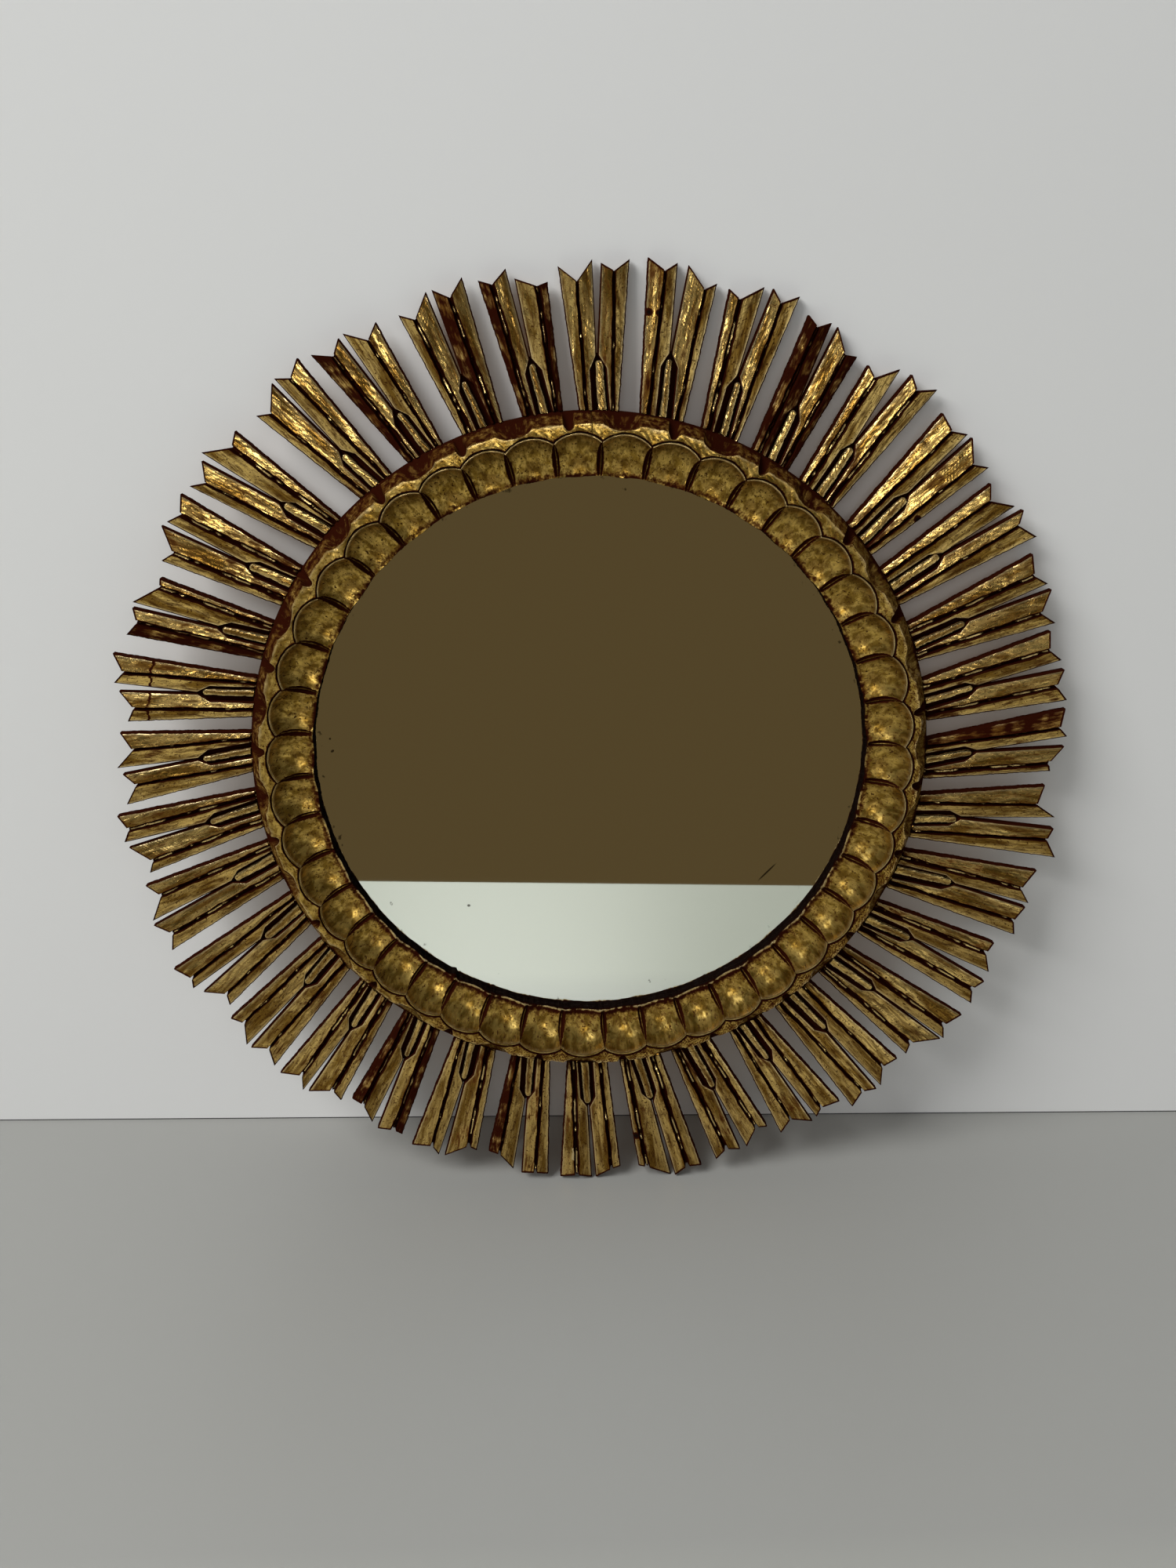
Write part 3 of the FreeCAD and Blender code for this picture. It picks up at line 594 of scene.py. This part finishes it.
def ring_surface(columns=36):
    """The whole ring as a closed grid: (points, faces, masks).

    Columns run round the ring, set closer beside each cut. Rows run out from the foot of the lip
    over bowl, crest, quirk and fillet, down the wall and back under the rays. A bowl falls from
    its rim by (1 - share ** power) ** (1 / power) of its full height, share being the distance
    from its own centre over its radius. Its rim is where the ring's radius meets the circle round
    that centre. A cut goes down by a sine of the distance from its ridge.
    """
    cuts = separator_bearings()
    step = np.arange(columns) / columns
    share = 0.4 * step + 0.6 * (0.5 - 0.5 * np.cos(np.pi * step))
    spans = (np.roll(cuts, -1) - cuts) % 360
    bearing = (cuts[:, None] + spans[:, None] * share).ravel() % 360
    off, which = nearest(bearing, (cuts + spans / 2) % 360)
    off = np.radians(off)
    cut_off = np.radians(nearest(bearing, cuts)[0])
    angle = np.radians(bearing)
    count = len(bearing)

    # Bowls, row by row from the lip to the rim.
    rim = BOWL_CENTRE_R * np.cos(off)
    rim = rim + np.sqrt(BOWL_RIM ** 2 - (BOWL_CENTRE_R * np.sin(off)) ** 2)
    lip = LIP_R - LIP_SCALLOP * np.cos(off * len(cuts)) + LIP_WANDER * wobble(bearing, 3, 17)
    out = np.linspace(0, 1, 24)[:, None]
    bowl_r = lip + (rim - lip) * (1 - (1 - out) ** 1.5)
    x, z = bowl_r * np.sin(off), bowl_r * np.cos(off) - BOWL_CENTRE_R
    from_centre = np.minimum(np.hypot(x, z), BOWL_RIM)
    hollow = (1 - (from_centre / BOWL_R) ** BOWL_POWER) ** (1 / BOWL_POWER)
    bowl_d = BOWL_TOP - BOWL_HIGH * hollow
    bowl_d = bowl_d + BOWL_UNEVEN * wobble(x + 1.3 * z + 7 * which, 2, 9) * (1 - out)

    # Cuts, sunk into the bowls. Aside is 0 at a cut's ridge and 1 at its edge.
    reach = np.clip((bowl_r - CUT_ENDS[0]) / (CUT_ENDS[1] - CUT_ENDS[0]), 0, 1)
    lens = CUT_HALF * np.sin(np.pi * reach) ** 0.6 + 0.05
    aside = bowl_r * np.sin(cut_off) / lens - CUT_ASIDE
    aside = np.abs(aside) / (1 - CUT_ASIDE * np.sign(aside))
    cut = np.where(aside < 1, np.sin(np.pi * (0.2 + 0.8 * np.minimum(aside, 1))), 0)
    bowl_d = bowl_d - CUT_DEEP * cut * np.sin(np.pi * reach) ** 0.5
    cut_patina = np.where(aside < 1, 1.1 - 0.9 * np.exp(-(aside / 0.18) ** 2),
                          np.exp(-(aside - 1) * 4) * 0.5)
    lip_patina = 0.45 * np.exp(-((out - 0.05) / 0.05) ** 2)
    # The bowls darken towards the lip, far more in the lower half of the ring: painted shade.
    lower_bowls_shade = (0.1 + 0.4 * np.clip(-np.cos(angle), 0, 1)) * (1 - out) ** 2.5
    bowl_patina_and_shade = np.maximum(cut_patina, lip_patina + lower_bowls_shade)
    bowl_wear = np.clip((out - 0.93) * 14, 0, 1) * (aside > 1.2)

    # Outer edge, eaten into by the flutes and the scoops.
    flute = nearest(bearing, FLUTE_BEARINGS)[0]
    flute_x = np.abs(np.radians(flute)) * FLUTE_R / FLUTE_HALF
    spans = (np.roll(FLUTE_BEARINGS, -1) - FLUTE_BEARINGS) % 360
    scoop = nearest(bearing, (FLUTE_BEARINGS + spans / 2) % 360)[0]
    scoop_x = np.abs(scoop) / SCOOP_HALF_BEARING
    flute_in = FLUTE_IN * np.clip(1 - flute_x ** 2, 0, 1) ** 0.6
    scoop_in = SCOOP_IN * np.clip(1 - scoop_x ** 2, 0, 1) ** 0.8
    eaten = np.maximum(flute_in, scoop_in)
    edge = EDGE_R - eaten + 0.3 * wobble(bearing, 5, 3.1)

    # Crest, quirk and fillet.
    crest_r = rim + np.array(CREST_OUT)[:, None]
    crest_d = np.array(CREST)[:, None] + 0.05 * wobble(bearing, 27, 3.7)
    # The crest's bright line is brightest towards the upper right: painted highlight over real
    # wear.
    crest_wear_and_highlight = 0.6 + 0.4 * np.cos(angle - 0.6) + 0.4 * wobble(bearing, 51, 6)
    quirk_r = rim + np.array(QUIRK_OUT)[:, None]
    quirk_d = np.array(QUIRK)[:, None] + 0.2 * wobble(bearing, 8, 2.3)
    start = rim + FILLET_OUT + 0.3 * wobble(bearing, 15, 4.7)
    over = np.linspace(0, 1, 8)[:, None]
    fillet_r = start + (np.maximum(edge, start + FILLET_LEAST) - start) * over
    lump = 0.3 * wobble(bearing * 3.6 + 9 * over, 6, 5.3) - 0.25
    fillet_d = EDGE_DEPTH + FILLET_RISE * (1 - over) + lump * np.sin(np.pi * (0.15 + 0.85 * over))
    # The fillet is lighter towards the upper left and darker towards the lower right: painted light
    # and shade. Its wobbles are patina.
    fillet_patina_and_shade = 0.21 - 0.22 * np.cos(angle + 0.6)
    fillet_patina_and_shade = fillet_patina_and_shade + 0.3 * wobble(bearing * 3.6 + 14 * over, 12, 4.1)
    fillet_patina_and_shade = fillet_patina_and_shade + 0.3 * wobble(bearing * 3.6 - 9 * over, 44, 1.9)
    fillet_patina_and_shade[0] = 0.9
    fillet_wear = np.clip(over * 4 - 3, 0, 1) * (0.5 + 0.5 * wobble(bearing, 21, 7))

    # Wall outside and wall of the lip.
    down = np.linspace(0, 1, 14)[1:, None]
    wall_r = fillet_r[-1] + (BASE_R - fillet_r[-1]) * down
    wall_r = wall_r - WALL_HOLLOW * eaten * np.sin(np.pi * down)
    wall_r = wall_r + 0.15 * wobble(bearing * 3.6 + 3 * down, 4, 6) * (1 - down)
    wall_d = fillet_d[-1] + (ON_RAYS - fillet_d[-1]) * down
    # The wall darkens over the top of the ring, and towards its foot where it meets the rays:
    # painted shade. The darkening in the scoops and flutes is patina.
    upper_wall_shade = np.clip(0.15 + 1.5 * np.cos(angle + 0.5), 0, 1)
    wall_patina_and_shade = 0.3 + 0.3 * upper_wall_shade + 0.12 * np.clip(eaten / SCOOP_IN, 0, 1)
    wall_patina_and_shade = wall_patina_and_shade + 0.5 * np.clip(down * 5 - 4, 0, 1)
    flute_patina = 0.4 + np.clip(1.6 - flute_x * 1.2, 0, 1) * 0.5
    inner_d = np.array(LIP_WALL)[:, None]
    inner_r = lip + np.array(LIP_WALL_LEAN)[:, None] + 0.3 * wobble(bearing + 40 * inner_d, 9, 5.7)
    inner_r = np.maximum(inner_r + 0.3 * wobble(bearing, 41, 1.5), LIP_LEAST_R)
    blob = np.exp(-((bearing - BLOB_BEARING) / BLOB_HALF_BEARING) ** 2)
    inner_r = inner_r - BLOB_REACH * blob
    inner_d = np.minimum(inner_d + 0 * bearing, bowl_d[0] - 0.4)
    under_r = np.array([NECK_R, NECK_R])[:, None] + 0 * bearing
    under_d = np.array([ON_RAYS, LIP_WALL[0]])[:, None] + 0 * bearing

    # Each band's radii, depths, patina and wear. Some of the patina is painted shade, and some of
    # the wear painted highlights.
    bands = ((inner_r, inner_d, BLACKENED, 0),
             (bowl_r, bowl_d, bowl_patina_and_shade, bowl_wear),
             (crest_r, crest_d, 0.1 + cut_patina[-1] * 0.8, np.clip(crest_wear_and_highlight, 0, 1)),
             (quirk_r, quirk_d, 1.1, 0),
             (fillet_r, fillet_d, fillet_patina_and_shade, fillet_wear),
             (wall_r, wall_d, np.maximum(wall_patina_and_shade, flute_patina), 0),
             (under_r, under_d, 1, 0))
    radii, depths, patina_and_shade, wear_and_highlight = (
        np.concatenate([0 * band[0] + band[k] for band in bands]) for k in range(4))
    depths = np.minimum(depths, CREST_LIMIT)
    lip_row = len(inner_r)
    # Along the lip's edge the leaf is rubbed bright and less dark in the lower half of the ring:
    # painted highlight, with real wear.
    rubbed_and_lit = np.clip(0.2 - 1.3 * np.cos(angle), 0, 1)
    wear_and_highlight[lip_row] = rubbed_and_lit
    patina_and_shade[lip_row] = (0.6 - 0.45 * rubbed_and_lit + 0.8 * wobble(bearing, 31, 9.7)
                       + 0.4 * wobble(bearing, 37, 1.6))
    lay = np.stack([0 * radii + angle * BOWL_CENTRE_R, radii + depths, 0 * radii], axis=-1)
    lay[lip_row:lip_row + len(bowl_r)] = np.stack([z, x, 0 * bowl_r + 30 * which], axis=-1)

    points = in_space(np.stack([radii * np.sin(angle), radii * np.cos(angle)], axis=-1), depths)
    here = np.arange(len(radii))[:, None] * count + np.arange(count)
    beside = np.roll(here, -1, axis=1)
    onward, onward_beside = np.roll(here, -1, axis=0), np.roll(beside, -1, axis=0)
    quads = np.stack([here, beside, onward_beside, onward], axis=-1).reshape(-1, 4)
    return points, quads.tolist(), [patina_and_shade, wear_and_highlight, lay]


ring_gilding = aged_gilding("ring_gilding", "#CCA856", "#8C6C2A", clouds_mm=5, streak=0.8,
                            lines=0.22, grimy=0.64, roughness=0.28, swell_mm=9)
ring = add_piece("carved_ring_gilt", [ring_surface()], ring_gilding, limewood)
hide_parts("carved_ring")

# Mirror glass. A round of silvered float glass under the ring's lip. The silver gives a clear
# reflection with a faint green cast, and its edge is lightly foxed.
silvering, tree, output = new_material("silvered_float_glass")
place = add(tree, "ShaderNodeTexCoord").outputs["Object"]
foxing = add(tree, "ShaderNodeTexNoise", {"Vector": place, "Scale": 1000 / 5.0, "Detail": 6})
spread = add(tree, "ShaderNodeSeparateXYZ", {"Vector": place})
flat_place = add(tree, "ShaderNodeCombineXYZ", {"X": spread.outputs["X"], "Y": spread.outputs["Z"]})
out_from_middle = add(tree, "ShaderNodeVectorMath", {0: flat_place.outputs[0]}, operation="LENGTH")
rim_zone = add(tree, "ShaderNodeMapRange", {"Value": out_from_middle.outputs["Value"],
                                            "From Min": 0.150, "From Max": 0.172, "To Min": 0.0,
                                            "To Max": 0.16})
foxed = add(tree, "ShaderNodeMath", {0: foxing.outputs["Fac"], 1: rim_zone.outputs[0]},
            operation="ADD")
foxed = add(tree, "ShaderNodeMapRange", {"Value": foxed.outputs[0], "From Min": 0.78,
                                         "From Max": 0.84, "To Max": 0.7})
foxed = foxed.outputs[0]
# Marks in the silver, each with its middle and half sizes in metres, and its turn.
for middle_x, middle_z, half_long, half_wide, turned in (
        (0.1124, -0.0800, 0.0080, 0.0006, 0.80), (-0.0786, -0.0995, 0.0011, 0.0009, 0),
        (-0.1599, 0.0041, 0.0012, 0.0008, 0.6), (-0.1610, 0.0120, 0.0007, 0.0007, 0)):
    mark = add(tree, "ShaderNodeMapping", {
        "Vector": flat_place.outputs[0], "Location": (middle_x, middle_z, 0),
        "Rotation": (0, 0, turned), "Scale": (half_long, half_wide, 1)}, vector_type="TEXTURE")
    away = add(tree, "ShaderNodeVectorMath", {0: mark.outputs[0]}, operation="LENGTH")
    marked = add(tree, "ShaderNodeMapRange", {"Value": away.outputs["Value"], "From Min": 1.1,
                                              "From Max": 0.8, "To Max": 0.85})
    foxed = add(tree, "ShaderNodeMath", {0: foxed, 1: marked.outputs[0]},
                operation="MAXIMUM").outputs[0]
silver = add(tree, "ShaderNodeMix", {0: foxed, 6: paint("#EDF1EC"), 7: paint("#3A342A")},
             data_type="RGBA")
surface = add(tree, "ShaderNodeBsdfPrincipled", {"Base Color": silver.outputs[2], "Metallic": 1.0,
                                                 "Roughness": 0.015})
tree.links.new(surface.outputs[0], output.inputs["Surface"])


def dress(node, material):
    """Gives a CAD node its finish."""
    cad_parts[node].data.materials.clear()
    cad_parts[node].data.materials.append(material)


dress("mirror_glass", silvering)

# Hoop behind the rays. Softwood, turned and stained dark brown; glued to the ring, with the rays'
# tongues nailed on its front and the board bradded on its back.
hoop_wood, tree, output = new_material("stained_softwood")
place = add(tree, "ShaderNodeTexCoord").outputs["Object"]
stretched = add(tree, "ShaderNodeMapping", {"Vector": place, "Scale": (1, 1, 0.06)})
grain = add(tree, "ShaderNodeTexNoise", {"Vector": stretched.outputs[0], "Scale": 1000 / 1.6,
                                         "Detail": 5, "Distortion": 0.6})
wood = add(tree, "ShaderNodeMix", {0: grain.outputs["Fac"], 6: paint("#2A1A10"),
                                   7: paint("#4A2F1C")}, data_type="RGBA")
relief = add(tree, "ShaderNodeBump", {"Height": grain.outputs["Fac"], "Strength": 0.3,
                                      "Distance": 0.0003})
surface = add(tree, "ShaderNodeBsdfPrincipled", {"Base Color": wood.outputs[2], "Roughness": 0.6,
                                                 "Normal": relief.outputs[0]})
tree.links.new(surface.outputs[0], output.inputs["Surface"])
dress("back_hoop", hoop_wood)

# Packing sheet. A round of grey-brown pulp card, laid between the glass and the board and held by
# nothing else. It is matt and fibrous.
card, tree, output = new_material("pulp_card")
place = add(tree, "ShaderNodeTexCoord").outputs["Object"]
fibres = add(tree, "ShaderNodeTexNoise", {"Vector": place, "Scale": 1000 / 2.0, "Detail": 6})
pulp = add(tree, "ShaderNodeMix", {0: fibres.outputs["Fac"], 6: paint("#7C6852"),
                                   7: paint("#A08B70")}, data_type="RGBA")
surface = add(tree, "ShaderNodeBsdfPrincipled", {"Base Color": pulp.outputs[2], "Roughness": 0.9})
tree.links.new(surface.outputs[0], output.inputs["Surface"])
dress("packing_sheet", card)

# Backing board. Thin pressed hardboard, smooth side out, held by eight cut brads.
# Its face is mid brown, with darker fibres and a slight sheen.
hardboard, tree, output = new_material("pressed_hardboard")
place = add(tree, "ShaderNodeTexCoord").outputs["Object"]
fibres = add(tree, "ShaderNodeTexNoise", {"Vector": place, "Scale": 1000 / 1.8, "Detail": 8,
                                          "Roughness": 0.7})
blotch = add(tree, "ShaderNodeTexNoise", {"Vector": place, "Scale": 1000 / 60, "Detail": 3})
both = add(tree, "ShaderNodeMath", {0: fibres.outputs["Fac"], 1: blotch.outputs["Fac"]},
           operation="MULTIPLY")
shade = add(tree, "ShaderNodeMapRange", {"Value": both.outputs[0], "From Min": 0.15,
                                         "From Max": 0.38})
pressed = add(tree, "ShaderNodeMix", {0: shade.outputs[0], 6: paint("#4E3420"),
                                      7: paint("#7A5636")}, data_type="RGBA")
relief = add(tree, "ShaderNodeBump", {"Height": fibres.outputs["Fac"], "Strength": 0.2,
                                      "Distance": 0.0002})
surface = add(tree, "ShaderNodeBsdfPrincipled", {
    "Base Color": pressed.outputs[2], "Roughness": 0.48, "Normal": relief.outputs[0]})
tree.links.new(surface.outputs[0], output.inputs["Surface"])
dress("backing_board", hardboard)

# Brads, nails and tacks. All are cut from black sheet iron and driven in: the nails hold the rays'
# tongues, the brads the board and the tacks the hanger. Dull dark metal, with rust in patches.
cut_iron, tree, output = new_material("cut_iron")
place = add(tree, "ShaderNodeTexCoord").outputs["Object"]
rust = add(tree, "ShaderNodeTexNoise", {"Vector": place, "Scale": 1000 / 0.9, "Detail": 5})
rusty = add(tree, "ShaderNodeMapRange", {"Value": rust.outputs["Fac"], "From Min": 0.45,
                                         "From Max": 0.62})
iron = add(tree, "ShaderNodeMix", {0: rusty.outputs[0], 6: paint("#4A4744"), 7: paint("#5B3420")},
           data_type="RGBA")
bare = add(tree, "ShaderNodeMath", {0: 0.9, 1: rusty.outputs[0]}, operation="SUBTRACT",
           use_clamp=True)
surface = add(tree, "ShaderNodeBsdfPrincipled", {
    "Base Color": iron.outputs[2], "Metallic": bare.outputs[0], "Roughness": 0.55})
tree.links.new(surface.outputs[0], output.inputs["Surface"])
for node in ("board_brads", "ray_nails", "hanger_tacks"):
    dress(node, cut_iron)

# Hanger. A strip of brass folded round the straight bar of a brass wire loop and let into the
# hoop's back. The loop turns in the fold. Both are dulled by tarnish in soft brown clouds.
hanger_brass, tree, output = new_material("dulled_brass")
place = add(tree, "ShaderNodeTexCoord").outputs["Object"]
tarnish = add(tree, "ShaderNodeTexNoise", {"Vector": place, "Scale": 1000 / 2.4, "Detail": 6})
brass = add(tree, "ShaderNodeMix", {0: tarnish.outputs["Fac"], 6: paint("#7A6032"),
                                    7: paint("#D2B36C")}, data_type="RGBA")
dulling = add(tree, "ShaderNodeMapRange", {"Value": tarnish.outputs["Fac"], "To Min": 0.55,
                                           "To Max": 0.3})
surface = add(tree, "ShaderNodeBsdfPrincipled", {"Base Color": brass.outputs[2], "Metallic": 0.6,
                                                 "Roughness": dulling.outputs[0]})
tree.links.new(surface.outputs[0], output.inputs["Surface"])
for node in ("hanger_strap", "hanger_loop"):
    dress(node, hanger_brass)

# Stage. The mirror leans back against a pale wall, on a pale half-gloss table, with a thin dark
# strip of painted shade along the join. The table pales away from the wall: painted light in
# front, painted shade near the mirror. Both planes are set out tilted, because the mirror stays
# upright. The wall holds no light back, so that the mirror's back is lit too.
LEAN = math.radians(6.2)
STAGE_TURN = math.radians(-1.4)
TABLE_BELOW = 0.2929
WALL_BEHIND = 0.0245
TABLE_REACH = 0.855
TABLE_END_TURN = math.radians(-7.5)
STAGE_HALF = 3.0
WALL_HIGH = 4.0
SHADE_STRIP = (0.0002, 0.0011)
SHADE_STRIP_PROUD = 0.0003
UPRIGHT = Vector((0, -math.sin(LEAN), math.cos(LEAN)))
OUTWARD = Vector((0, -math.cos(LEAN), -math.sin(LEAN)))
SIDE = Vector((1, 0, 0)) * math.cos(STAGE_TURN) - OUTWARD * math.sin(STAGE_TURN)
OUTWARD = SIDE.cross(UPRIGHT)


def sheet(name, corners, material):
    """Flat four-cornered stage card."""
    mesh = bpy.data.meshes.new(name)
    mesh.from_pydata([tuple(corner) for corner in corners], [], [(0, 1, 2, 3)])
    mesh.materials.append(material)
    card_object = bpy.data.objects.new(name, mesh)
    bpy.context.scene.collection.objects.link(card_object)
    return card_object


def matt_paint(name, code, roughness):
    """Plain painted surface, clear from behind so that the back can be looked at too."""
    material, tree, output = new_material(name)
    surface = add(tree, "ShaderNodeBsdfPrincipled", {"Base Color": paint(code),
                                                     "Roughness": roughness})
    behind = add(tree, "ShaderNodeNewGeometry").outputs["Backfacing"]
    clear = add(tree, "ShaderNodeBsdfTransparent")
    sides = add(tree, "ShaderNodeMixShader", {0: behind, 1: surface.outputs[0],
                                              2: clear.outputs[0]})
    tree.links.new(sides.outputs[0], output.inputs["Surface"])
    return material


join = UPRIGHT * -TABLE_BELOW + OUTWARD * -WALL_BEHIND
left, right = SIDE * -STAGE_HALF, SIDE * STAGE_HALF
rise = UPRIGHT * WALL_HIGH
wall = sheet("wall", [join + left, join + right, join + right + rise, join + left + rise],
             matt_paint("wall_paint", "#DCDCDA", 0.7))
wall.visible_shadow = False
# A dark strip along the join stands in for the shade there: painted shade.
strip_low, strip_high = (join + UPRIGHT * high + OUTWARD * SHADE_STRIP_PROUD for high in SHADE_STRIP)
sheet("join_shade_strip", [strip_low + left, strip_low + right, strip_high + right, strip_high + left],
      matt_paint("gap_shadow", "#4A4A48", 0.9))
table_end = join + OUTWARD * TABLE_REACH
end_side = (SIDE * math.cos(TABLE_END_TURN) + OUTWARD * math.sin(TABLE_END_TURN)) * STAGE_HALF
table_paint = matt_paint("table_paint", "#9E9E9A", 0.4)
tree = table_paint.node_tree
# The table pales between y = -0.30 and -0.45 m, away from the wall: painted light in front, painted
# shade near the mirror.
place = add(tree, "ShaderNodeTexCoord").outputs["Object"]
place = add(tree, "ShaderNodeSeparateXYZ", {"Vector": place})
lit_far_part = add(tree, "ShaderNodeMapRange", {"Value": place.outputs["Y"], "From Min": -0.30,
                                            "From Max": -0.45})
painted_light_blend = add(tree, "ShaderNodeMix", {0: lit_far_part.outputs[0], 6: paint("#9E9E9A"),
                                    7: paint("#B8BAAE")}, data_type="RGBA")
tree.links.new(painted_light_blend.outputs[2], tree.nodes["Principled BSDF"].inputs["Base Color"])
table = sheet("table", [join + left, table_end - end_side, table_end + end_side, join + right],
              table_paint)


def glow_card(name, corners, code, strength):
    """Card that gives out light of its own and that only reflections see."""
    material, tree, output = new_material(name)
    glow = add(tree, "ShaderNodeEmission", {"Color": paint(code), "Strength": strength})
    tree.links.new(glow.outputs[0], output.inputs["Surface"])
    card_object = sheet(name, corners, material)
    card_object.visible_camera = False
    card_object.visible_diffuse = False
    card_object.visible_shadow = False


# Three cards side by side rise from the table's end for the glass to show: a brown one in the
# middle and a pale one on either side. The bowls and the facets that face up shine with two more,
# one straight in front and a dimmer one high on the left.
CARD_LOW = 0.04
CARD_AWAY = 3.5
CARD_RISE = 0.9
low = table_end - UPRIGHT * CARD_LOW
far = low + OUTWARD * CARD_AWAY + UPRIGHT * CARD_RISE
for name, low_from, low_to, far_from, far_to, code, strength in (
        ("room_card", -0.38, 0.44, -1.0, 1.35, "#58482D", 1.0),
        ("right_card", 0.44, 3.0, 1.35, 8.0, "#E4E9EC", 0.8),
        ("left_card", -3.0, -0.38, -8.0, -1.0, "#E4E9EC", 0.6)):
    glow_card(name, [low + SIDE * low_from, far + SIDE * far_from,
                     far + SIDE * far_to, low + SIDE * low_to], code, strength)
# For each of the two: left and right end, and the places of its lower and upper edge.
for name, (x_from, x_to), (low_y, low_z), (high_y, high_z), code, strength in (
        ("high_card", (-2.1, -0.9), (-2.9, 1.7), (-1.8, 2.7), "#E2EBFF", 4.5),
        ("window_card", (-0.5, 0.25), (-2.9, 0.25), (-2.8, 0.9), "#F2F2F0", 7.2)):
    glow_card(name, [(x_from, low_y, low_z), (x_to, low_y, low_z),
                     (x_to, high_y, high_z), (x_from, high_y, high_z)], code, strength)

# Light. A wide soft lamp in front and above, a little to the left, a weaker one straight in front,
# one behind for the mirror's back, and an even pale surround.
world = bpy.data.worlds.new("pale_room")
world.use_nodes = True
world.node_tree.nodes["Background"].inputs["Color"].default_value = paint("#E6EAEC")
world.node_tree.nodes["Background"].inputs["Strength"].default_value = 0.16
bpy.context.scene.world = world


def soft_lamp(name, place, wide, high, power):
    """Rectangular area lamp that faces the mirror's middle. Reflections show the cards instead."""
    data = bpy.data.lights.new(name, "AREA")
    data.shape = "RECTANGLE"
    data.size = wide
    data.size_y = high
    data.energy = power
    lamp = bpy.data.objects.new(name, data)
    lamp.location = place
    lamp.rotation_euler = (-Vector(place)).to_track_quat("-Z", "Y").to_euler()
    lamp.visible_glossy = False
    bpy.context.scene.collection.objects.link(lamp)
    return lamp


soft_lamp("high_lamp", (-3.0, -2.8, 3.3), wide=2.8, high=2.2, power=238)
soft_lamp("front_lamp", (-0.3, -2.8, 0.8), wide=3.0, high=1.4, power=18)
# The lamp behind lights the mirror only, and leaves the stage out.
back_lamp = soft_lamp("back_lamp", (0.5, 2.2, 1.0), wide=2.4, high=1.8, power=40)
back_lamp.visible_camera = False
unlit = bpy.data.collections.new("not_lit_from_behind")
for stage_object in (wall, table):
    unlit.objects.link(stage_object)
back_lamp.light_linking.receiver_collection = unlit
for member in unlit.collection_objects:
    member.light_linking.link_state = "EXCLUDE"

# Camera. It stands where the photograph was taken from, a little to the left and looking down.
# Angles are in degrees, and the sensor is the frame's long side.
CAMERA_PLACE = (-0.03637, -0.91760, 0.25729)
CAMERA_YAW = -2.16
CAMERA_PITCH = -16.93
CAMERA_ROLL = -0.19
camera_data = bpy.data.cameras.new("camera")
camera_data.sensor_fit = "AUTO"
camera_data.sensor_width = 36
camera_data.lens = 34.88
camera_data.clip_start = 0.01
camera_data.clip_end = 50
camera = bpy.data.objects.new("camera", camera_data)
turn = (Matrix.Rotation(math.radians(CAMERA_YAW), 4, "Z")
        @ Matrix.Rotation(math.radians(90 + CAMERA_PITCH), 4, "X")
        @ Matrix.Rotation(math.radians(CAMERA_ROLL), 4, "Z"))
camera.matrix_world = Matrix.Translation(CAMERA_PLACE) @ turn
bpy.context.scene.collection.objects.link(camera)
bpy.context.scene.camera = camera
bpy.context.scene.view_settings.view_transform = "Standard"
